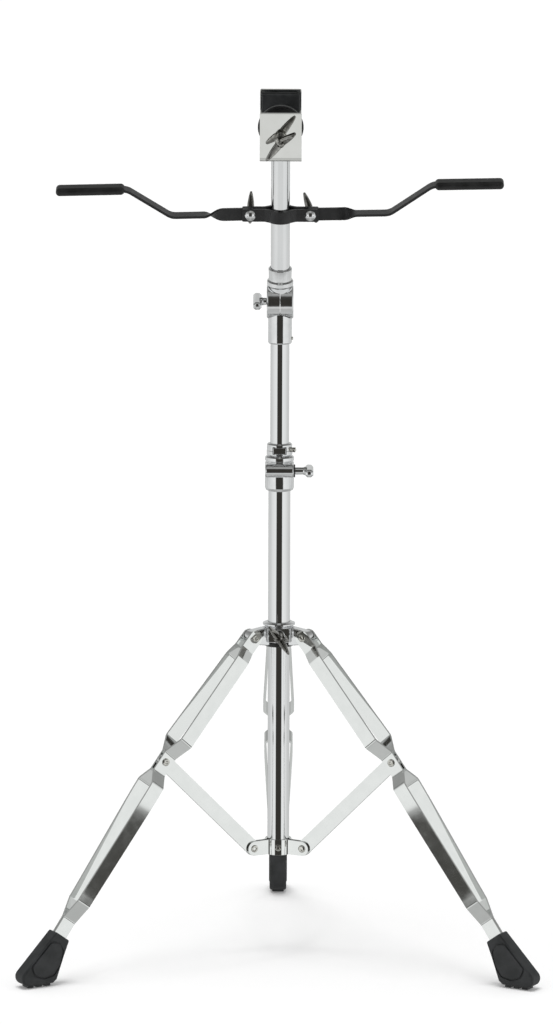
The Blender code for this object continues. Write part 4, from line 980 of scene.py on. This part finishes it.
def make_bongo_clamp():
    middle = BRACKET_THICKNESS / 2
    depth = BRACKET_HALF_DEPTH - middle
    base = BRACKET_BOTTOM + middle
    path = softened([(-depth, BRACKET_TOP), (-depth, base), (depth, base), (depth, BRACKET_TOP)],
                    4.5 * MM, 12)
    corner = 1.4 * MM
    ends = [i * corner / 5 for i in range(6)]
    path = ([Vector((-depth, BRACKET_TOP - e)) for e in ends] + path[1:-1]
            + [Vector((depth, BRACKET_TOP - e)) for e in reversed(ends)])
    pairs = []
    for spot in path:
        left = max(corner - (BRACKET_TOP - spot.y), 0.0)
        half = BRACKET_WIDTH / 2 - corner + math.sqrt(max(corner ** 2 - left ** 2, 0.0))
        pairs.append(((-half, spot.x, spot.y), (half, spot.x, spot.y)))
    bracket = ribbon("clamp_bracket", pairs, BRACKET_THICKNESS, LEAN, edge=0.5 * MM)
    axis = LEAN @ shifted(z=JAW_SCREW_HEIGHT) @ across_y()
    cut(bracket, rod("jaw_screw_drill", JAW_SCREW_RADIUS + GAP, 30 * MM, 40 * MM, axis))
    piece(bracket, "clamp_bracket", "plate")
    inside = BRACKET_HALF_DEPTH - BRACKET_THICKNESS
    pad = box("rear_pad", (38 * MM, 4 * MM, 40 * MM),
              (0, inside - GAP - 2 * MM, BRACKET_BOTTOM + 28 * MM), LEAN, edge=1.2 * MM)
    piece(pad, "rear_pad", "rubber")
    front, radius = JAW_DISC_FRONT, JAW_DISC_RADIUS
    profile = [(0, front), (7.0 * MM, front), (8.0 * MM, front - 0.9 * MM),
               (radius - 2.5 * MM, front - 0.9 * MM), (radius - 1.2 * MM, front - 0.2 * MM),
               (radius, front - 1.0 * MM), (radius, front - 3.2 * MM), (0, front - 3.2 * MM)]
    piece(turned("pressure_disc", profile, axis), "pressure_disc", "black")
    facing = front - 3.2 * MM - GAP
    profile = [(0, facing), (radius - 0.8 * MM, facing), (radius - 0.8 * MM, facing - 3.2 * MM),
               (radius - 2.0 * MM, facing - 4.2 * MM), (0, facing - 4.2 * MM)]
    piece(turned("disc_pad", profile, axis), "disc_pad", "rubber")
    hub = BRACKET_HALF_DEPTH + 8.5 * MM
    place = LEAN @ shifted(y=-hub, z=JAW_SCREW_HEIGHT) @ across_y(math.radians(44.6))
    wing_fastener("bracket_wing_bolt", place, JAW_SCREW_RADIUS, front + GAP - hub,
                  tip_x=16.4 * MM, tip_z=15.5 * MM)


def clamp_half(node, side):
    """One stamped half of the arm clamp. side is -1 in front and 1 behind."""
    flat = ARM_THICKNESS / 2 + GAP + ARM_CLAMP_THICKNESS / 2
    bulge = MIDDLE_RADIUS + GAP + ARM_CLAMP_THICKNESS / 2
    half = softened([(-ARM_CLAMP_HALF_LENGTH, -flat), (-15.5 * MM, -flat)]
                    + arc((0, 0), bulge, 216, 270, 12), 3.0 * MM, 6)
    ends = [(-ARM_CLAMP_HALF_LENGTH + i * 0.3 * MM, -flat) for i in range(1, 6)]
    half = [half[0]] + [Vector(p) for p in ends] + half[1:]
    path = [tuple(p) for p in half] + [(-p[0], p[1]) for p in reversed(half[:-1])]
    tall, corner = ARM_CLAMP_TALL / 2, 1.5 * MM
    pairs = []
    for x, y in path:
        beyond = max(abs(x) - ARM_CLAMP_HALF_LENGTH + corner, 0.0)
        edge = tall - corner + math.sqrt(max(corner ** 2 - beyond ** 2, 0.0))
        pairs.append(((x, -side * y, -edge), (x, -side * y, edge)))
    clamp = ribbon(node, pairs, ARM_CLAMP_THICKNESS, LEAN @ shifted(z=ARM_CLAMP_HEIGHT),
                   edge=0.7 * MM)
    piece(clamp, node, "black")


def arm_stations():
    """An arm's stations, from its pivot outwards: distance, height, turn of its width."""
    twist_start, twist_end = 25 * MM, 47 * MM
    lift_start = 79.5 * MM
    lift_end = lift_start + ARM_RISE / math.tan(math.radians(34))
    path = softened([(twist_end, 0), (lift_start, 0), (lift_end, ARM_RISE),
                     (ARM_LENGTH, ARM_RISE)], 16 * MM, 10)
    stations = [(-beyond, 0.0, 0.0) for beyond in round_end(ARM_WIDTH / 2)]
    steps = 28
    for i in range(steps):
        t = i / steps
        ease = t * t * (3 - 2 * t)
        stations.append((twist_start + (twist_end - twist_start) * t, 0.0, ease * math.pi / 2))
    return stations + [(x, z, math.pi / 2) for x, z in path]


def make_arm(side_name, pivot):
    half = ARM_WIDTH / 2
    pairs = []
    for distance, height, turn in arm_stations():
        width = rounded_half_width(half, max(-distance, 0.0))
        across = Vector((0.0, -math.sin(turn), math.cos(turn))) * width
        centre = Vector((-distance, 0.0, height))
        pairs.append((centre - across, centre + across))
    piece(ribbon("arm_" + side_name, pairs, ARM_THICKNESS, pivot), "arm_" + side_name, "black")
    centre = (-SLEEVE_END + SLEEVE_LENGTH / 2, 0, ARM_RISE)
    node = "sleeve_" + side_name
    sleeve = box(node, (SLEEVE_LENGTH, SLEEVE_WIDTH, SLEEVE_HEIGHT), centre, pivot,
                 edge=3.9 * MM, segments=8)
    slot_end = ARM_LENGTH + GAP
    cut(sleeve, box(node + "_slot",
                    (slot_end, ARM_WIDTH + 2 * GAP, ARM_THICKNESS + 2 * GAP),
                    (-slot_end / 2, 0, ARM_RISE), pivot))
    piece(sleeve, node, "sleeve")


def make_arms():
    clamp_half("arm_clamp_front", -1)
    clamp_half("arm_clamp_rear", 1)
    face = ARM_THICKNESS / 2 + GAP + ARM_CLAMP_THICKNESS + GAP
    placings = (("left", -1, -LEFT_ARM_DROP, LEFT_NUT_LEAN),
                ("right", 1, -RIGHT_ARM_LIFT, RIGHT_NUT_LEAN))
    for side_name, side, swing, nut_lean in placings:
        spot = LEAN @ shifted(side * ARM_PIVOT_X, 0, ARM_CLAMP_HEIGHT)
        profile = [(0, face + 3.2 * MM), (1.6 * MM, face + 3.05 * MM), (3.1 * MM, face + 2.5 * MM),
                   (4.4 * MM, face + 1.6 * MM), (5.6 * MM, face + 0.1 * MM), (5.6 * MM, face),
                   (ARM_BOLT_RADIUS, face)]
        profile += thread(ARM_BOLT_RADIUS, -face - 9 * MM, -face, 1.0 * MM)
        profile += [(0, -face - 9 * MM)]
        node = "arm_bolt_" + side_name
        piece(turned(node, profile, spot @ across_y(), SCREW_STEPS, soft=0.1 * MM), node, "cast")
        behind = shifted(y=face) @ Matrix.Rotation(math.radians(-90), 4, "X")
        roll = Matrix.Rotation(math.pi / 2 + nut_lean, 4, "Z")
        wing_fastener("arm_wing_nut_" + side_name, spot @ behind @ roll, 0.0, 0.0,
                      bore=ARM_BOLT_RADIUS + GAP, tip_x=13.0 * MM, tip_z=13.0 * MM)
        turn = Matrix.Rotation(swing, 4, "Y")
        if side > 0:
            turn = turn @ Matrix.Rotation(math.pi, 4, "Z")
        make_arm(side_name, spot @ turn)


# Studio

def map_range(tree, value, start, end, low=0.0, high=1.0):
    step = tree.nodes.new("ShaderNodeMapRange")
    step.interpolation_type = "SMOOTHSTEP"
    step.inputs["From Min"].default_value = start
    step.inputs["From Max"].default_value = end
    step.inputs["To Min"].default_value = low
    step.inputs["To Max"].default_value = high
    tree.links.new(value, step.inputs["Value"])
    return step.outputs["Result"]


def maths(tree, operation, *values):
    step = tree.nodes.new("ShaderNodeMath")
    step.operation = operation
    for socket, value in zip(step.inputs, values):
        if isinstance(value, (int, float)):
            socket.default_value = value
        else:
            tree.links.new(value, socket)
    return step.outputs["Value"]


def graded(tree, angle, start, end, stops):
    """A grey that changes with an angle, from (degrees, grey) stops."""
    start, end = math.radians(start), math.radians(end)
    place = maths(tree, "DIVIDE", maths(tree, "SUBTRACT", angle, start), end - start)
    ramp = tree.nodes.new("ShaderNodeValToRGB")
    points = ramp.color_ramp.elements
    while len(points) < len(stops):
        points.new(0.5)
    for point, (degrees, grey) in zip(points, stops):
        point.position = (math.radians(degrees) - start) / (end - start)
        point.color = (grey, grey, grey, 1.0)
    tree.links.new(place, ramp.inputs["Fac"])
    return ramp.outputs["Color"]


def band(tree, angle, start, full, fading, end):
    """1 between two angles and 0 beyond them, in degrees."""
    rise = map_range(tree, angle, math.radians(start), math.radians(full))
    fall = map_range(tree, angle, math.radians(fading), math.radians(end), 1.0, 0.0)
    return maths(tree, "MULTIPLY", rise, fall)


# What polished metal sees: (degrees, grey) by elevation or by azimuth from the front
FRONT_BY_ELEVATION = ((-90, 0.57), (-62, 0.50), (-46, 0.48), (-37, 0.70), (-32, 0.68), (-25, 0.06),
                      (-14, 0.03), (24, 0.03), (38, 0.05), (49, 0.34), (63, 0.42), (76, 0.18),
                      (90, 0.05))
SIDE_BY_ELEVATION = ((-90, 0.57), (-64, 0.46), (-46, 0.50), (-30, 0.92), (-16, 1.0), (4, 1.0),
                     (18, 0.52), (34, 0.34), (60, 0.14), (90, 0.05))
BACK_BY_ELEVATION = ((-90, 0.57), (-66, 0.42), (-40, 0.34), (-16, 0.40), (2, 0.58), (22, 0.62),
                     (44, 0.30), (62, 0.07), (90, 0.05))
SIDE_BY_AZIMUTH = ((27, 0.86), (48, 0.86), (58, 0.83), (72, 0.80), (87, 0.76), (90.5, 0.60),
                   (94, 0.74), (103, 0.70), (111, 0.58), (120, 0.66), (150, 0.60))


def make_world():
    """A pale studio with a dark opening in front, where the camera is, and one behind."""
    world = bpy.data.worlds.new("studio")
    world.use_nodes = True
    bpy.context.scene.world = world
    tree = world.node_tree
    tree.nodes.clear()
    coord = tree.nodes.new("ShaderNodeTexCoord")
    split = tree.nodes.new("ShaderNodeSeparateXYZ")
    tree.links.new(coord.outputs["Generated"], split.inputs["Vector"])
    x, y, z = (split.outputs[i] for i in range(3))
    azimuth = maths(tree, "ABSOLUTE", maths(tree, "ARCTAN2", x, maths(tree, "MULTIPLY", y, -1.0)))
    elevation = maths(tree, "ARCSINE", z)
    side = maths(tree, "MULTIPLY", graded(tree, elevation, -90, 90, SIDE_BY_ELEVATION),
                 graded(tree, azimuth, 0, 180, SIDE_BY_AZIMUTH))
    card = maths(tree, "MULTIPLY", band(tree, azimuth, 44, 47, 60, 61.5),
                 band(tree, elevation, -27, -24, -15.9, -15.0))
    dimmed = maths(tree, "SUBTRACT", 1.0, maths(tree, "MULTIPLY", card, 0.93))
    side = maths(tree, "MULTIPLY", side, dimmed)
    front = graded(tree, elevation, -90, 90, FRONT_BY_ELEVATION)
    back = graded(tree, elevation, -90, 90, BACK_BY_ELEVATION)
    grey = mixed(tree, map_range(tree, azimuth, math.radians(27), math.radians(33)), front, side)
    grey = mixed(tree, map_range(tree, azimuth, math.radians(149), math.radians(156)), grey, back)
    tint = tree.nodes.new("ShaderNodeMix")
    tint.data_type = "RGBA"
    tint.inputs["A"].default_value = (0.008, 0.006, 0.002, 1.0)
    tint.inputs["B"].default_value = (0.985, 1.0, 0.99, 1.0)
    tree.links.new(grey, tint.inputs["Factor"])
    path = tree.nodes.new("ShaderNodeLightPath")
    studio = background(tree, tint.outputs["Result"], 1.0)
    light = background(tree, (1.0, 1.0, 1.0, 1.0), 0.5)
    backdrop = background(tree, (1.0, 1.0, 1.0, 1.0), 1.0)
    mirrored = maths(tree, "MAXIMUM", path.outputs["Is Glossy Ray"],
                     path.outputs["Is Transmission Ray"])
    shown = chosen(tree, mirrored, light, studio)
    shown = chosen(tree, path.outputs["Is Camera Ray"], shown, backdrop)
    output = tree.nodes.new("ShaderNodeOutputWorld")
    tree.links.new(shown, output.inputs["Surface"])


def mixed(tree, factor, first, second):
    step = tree.nodes.new("ShaderNodeMix")
    tree.links.new(factor, step.inputs["Factor"])
    tree.links.new(first, step.inputs["A"])
    tree.links.new(second, step.inputs["B"])
    return step.outputs["Result"]


def background(tree, colour, strength):
    made = tree.nodes.new("ShaderNodeBackground")
    if isinstance(colour, tuple):
        made.inputs["Color"].default_value = colour
    else:
        tree.links.new(colour, made.inputs["Color"])
    made.inputs["Strength"].default_value = strength
    return made.outputs["Background"]


def chosen(tree, factor, first, second):
    step = tree.nodes.new("ShaderNodeMixShader")
    tree.links.new(factor, step.inputs["Fac"])
    tree.links.new(first, step.inputs[1])
    tree.links.new(second, step.inputs[2])
    return step.outputs["Shader"]


def make_floor():
    bm = bmesh.new()
    bmesh.ops.create_grid(bm, x_segments=1, y_segments=1, size=30.0)
    mesh = bpy.data.meshes.new("floor")
    bm.to_mesh(mesh)
    bm.free()
    floor = bpy.data.objects.new("floor", mesh)
    floor.location = (0, 0, -0.0005)
    bpy.context.scene.collection.objects.link(floor)
    made = bpy.data.materials.new("white_floor")
    made.use_nodes = True
    tree = made.node_tree
    shader = tree.nodes["Principled BSDF"]
    shader.inputs["Base Color"].default_value = (0.93, 0.93, 0.93, 1.0)
    shader.inputs["Roughness"].default_value = 0.9
    shader.inputs["Specular IOR Level"].default_value = 0.0
    path = tree.nodes.new("ShaderNodeLightPath")
    shader.inputs["Emission Color"].default_value = (1.0, 1.0, 1.0, 1.0)
    tree.links.new(map_range(tree, path.outputs["Is Camera Ray"], 0.0, 1.0, 0.0, 0.13),
                   shader.inputs["Emission Strength"])
    clear = tree.nodes.new("ShaderNodeBsdfTransparent")
    choose = tree.nodes.new("ShaderNodeMixShader")
    tree.links.new(path.outputs["Is Glossy Ray"], choose.inputs["Fac"])
    tree.links.new(shader.outputs["BSDF"], choose.inputs[1])
    tree.links.new(clear.outputs["BSDF"], choose.inputs[2])
    output = tree.nodes["Material Output"]
    tree.links.new(choose.outputs["Shader"], output.inputs["Surface"])
    mesh.materials.append(made)


def make_lamp():
    """One broad, soft light from above, a little to the front and left."""
    lamp = bpy.data.lights.new("overhead", "SUN")
    lamp.energy = 1.5
    lamp.angle = math.radians(30)
    obj = bpy.data.objects.new("overhead", lamp)
    obj.rotation_euler = (math.radians(6), math.radians(-4), 0)
    obj.visible_glossy = False
    bpy.context.scene.collection.objects.link(obj)


def make_camera():
    camera = bpy.data.cameras.new("camera")
    camera.sensor_fit = "VERTICAL"
    camera.sensor_height = 36.0
    camera.lens = 210.47
    camera.clip_end = 60.0
    obj = bpy.data.objects.new("camera", camera)
    aim = Matrix.Rotation(math.radians(80.10), 4, "X") @ Matrix.Rotation(math.radians(0.2), 4, "Z")
    obj.matrix_basis = shifted(-0.0029, AXIS_Y - 6.0, 1.508) @ aim
    bpy.context.scene.collection.objects.link(obj)
    bpy.context.scene.camera = obj


make_camera()
make_world()
make_floor()
make_lamp()
bpy.context.scene.view_settings.view_transform = "Standard"

make_tubes()
make_foot_bracket()
make_collar()
for leg in LEG_AZIMUTH:
    make_leg(leg)
make_boots()
make_base_clamp()
make_memory_lock()
make_tilter()
make_bongo_clamp()
make_arms()

for leftover in list(WORKSHOP.objects):
    bpy.data.objects.remove(leftover, do_unlink=True)
bpy.data.collections.remove(WORKSHOP)
missing = sorted(set(NODE_BODY) - set(PIECES))
if missing:
    raise ValueError("nodes with no finer piece: " + ", ".join(missing))
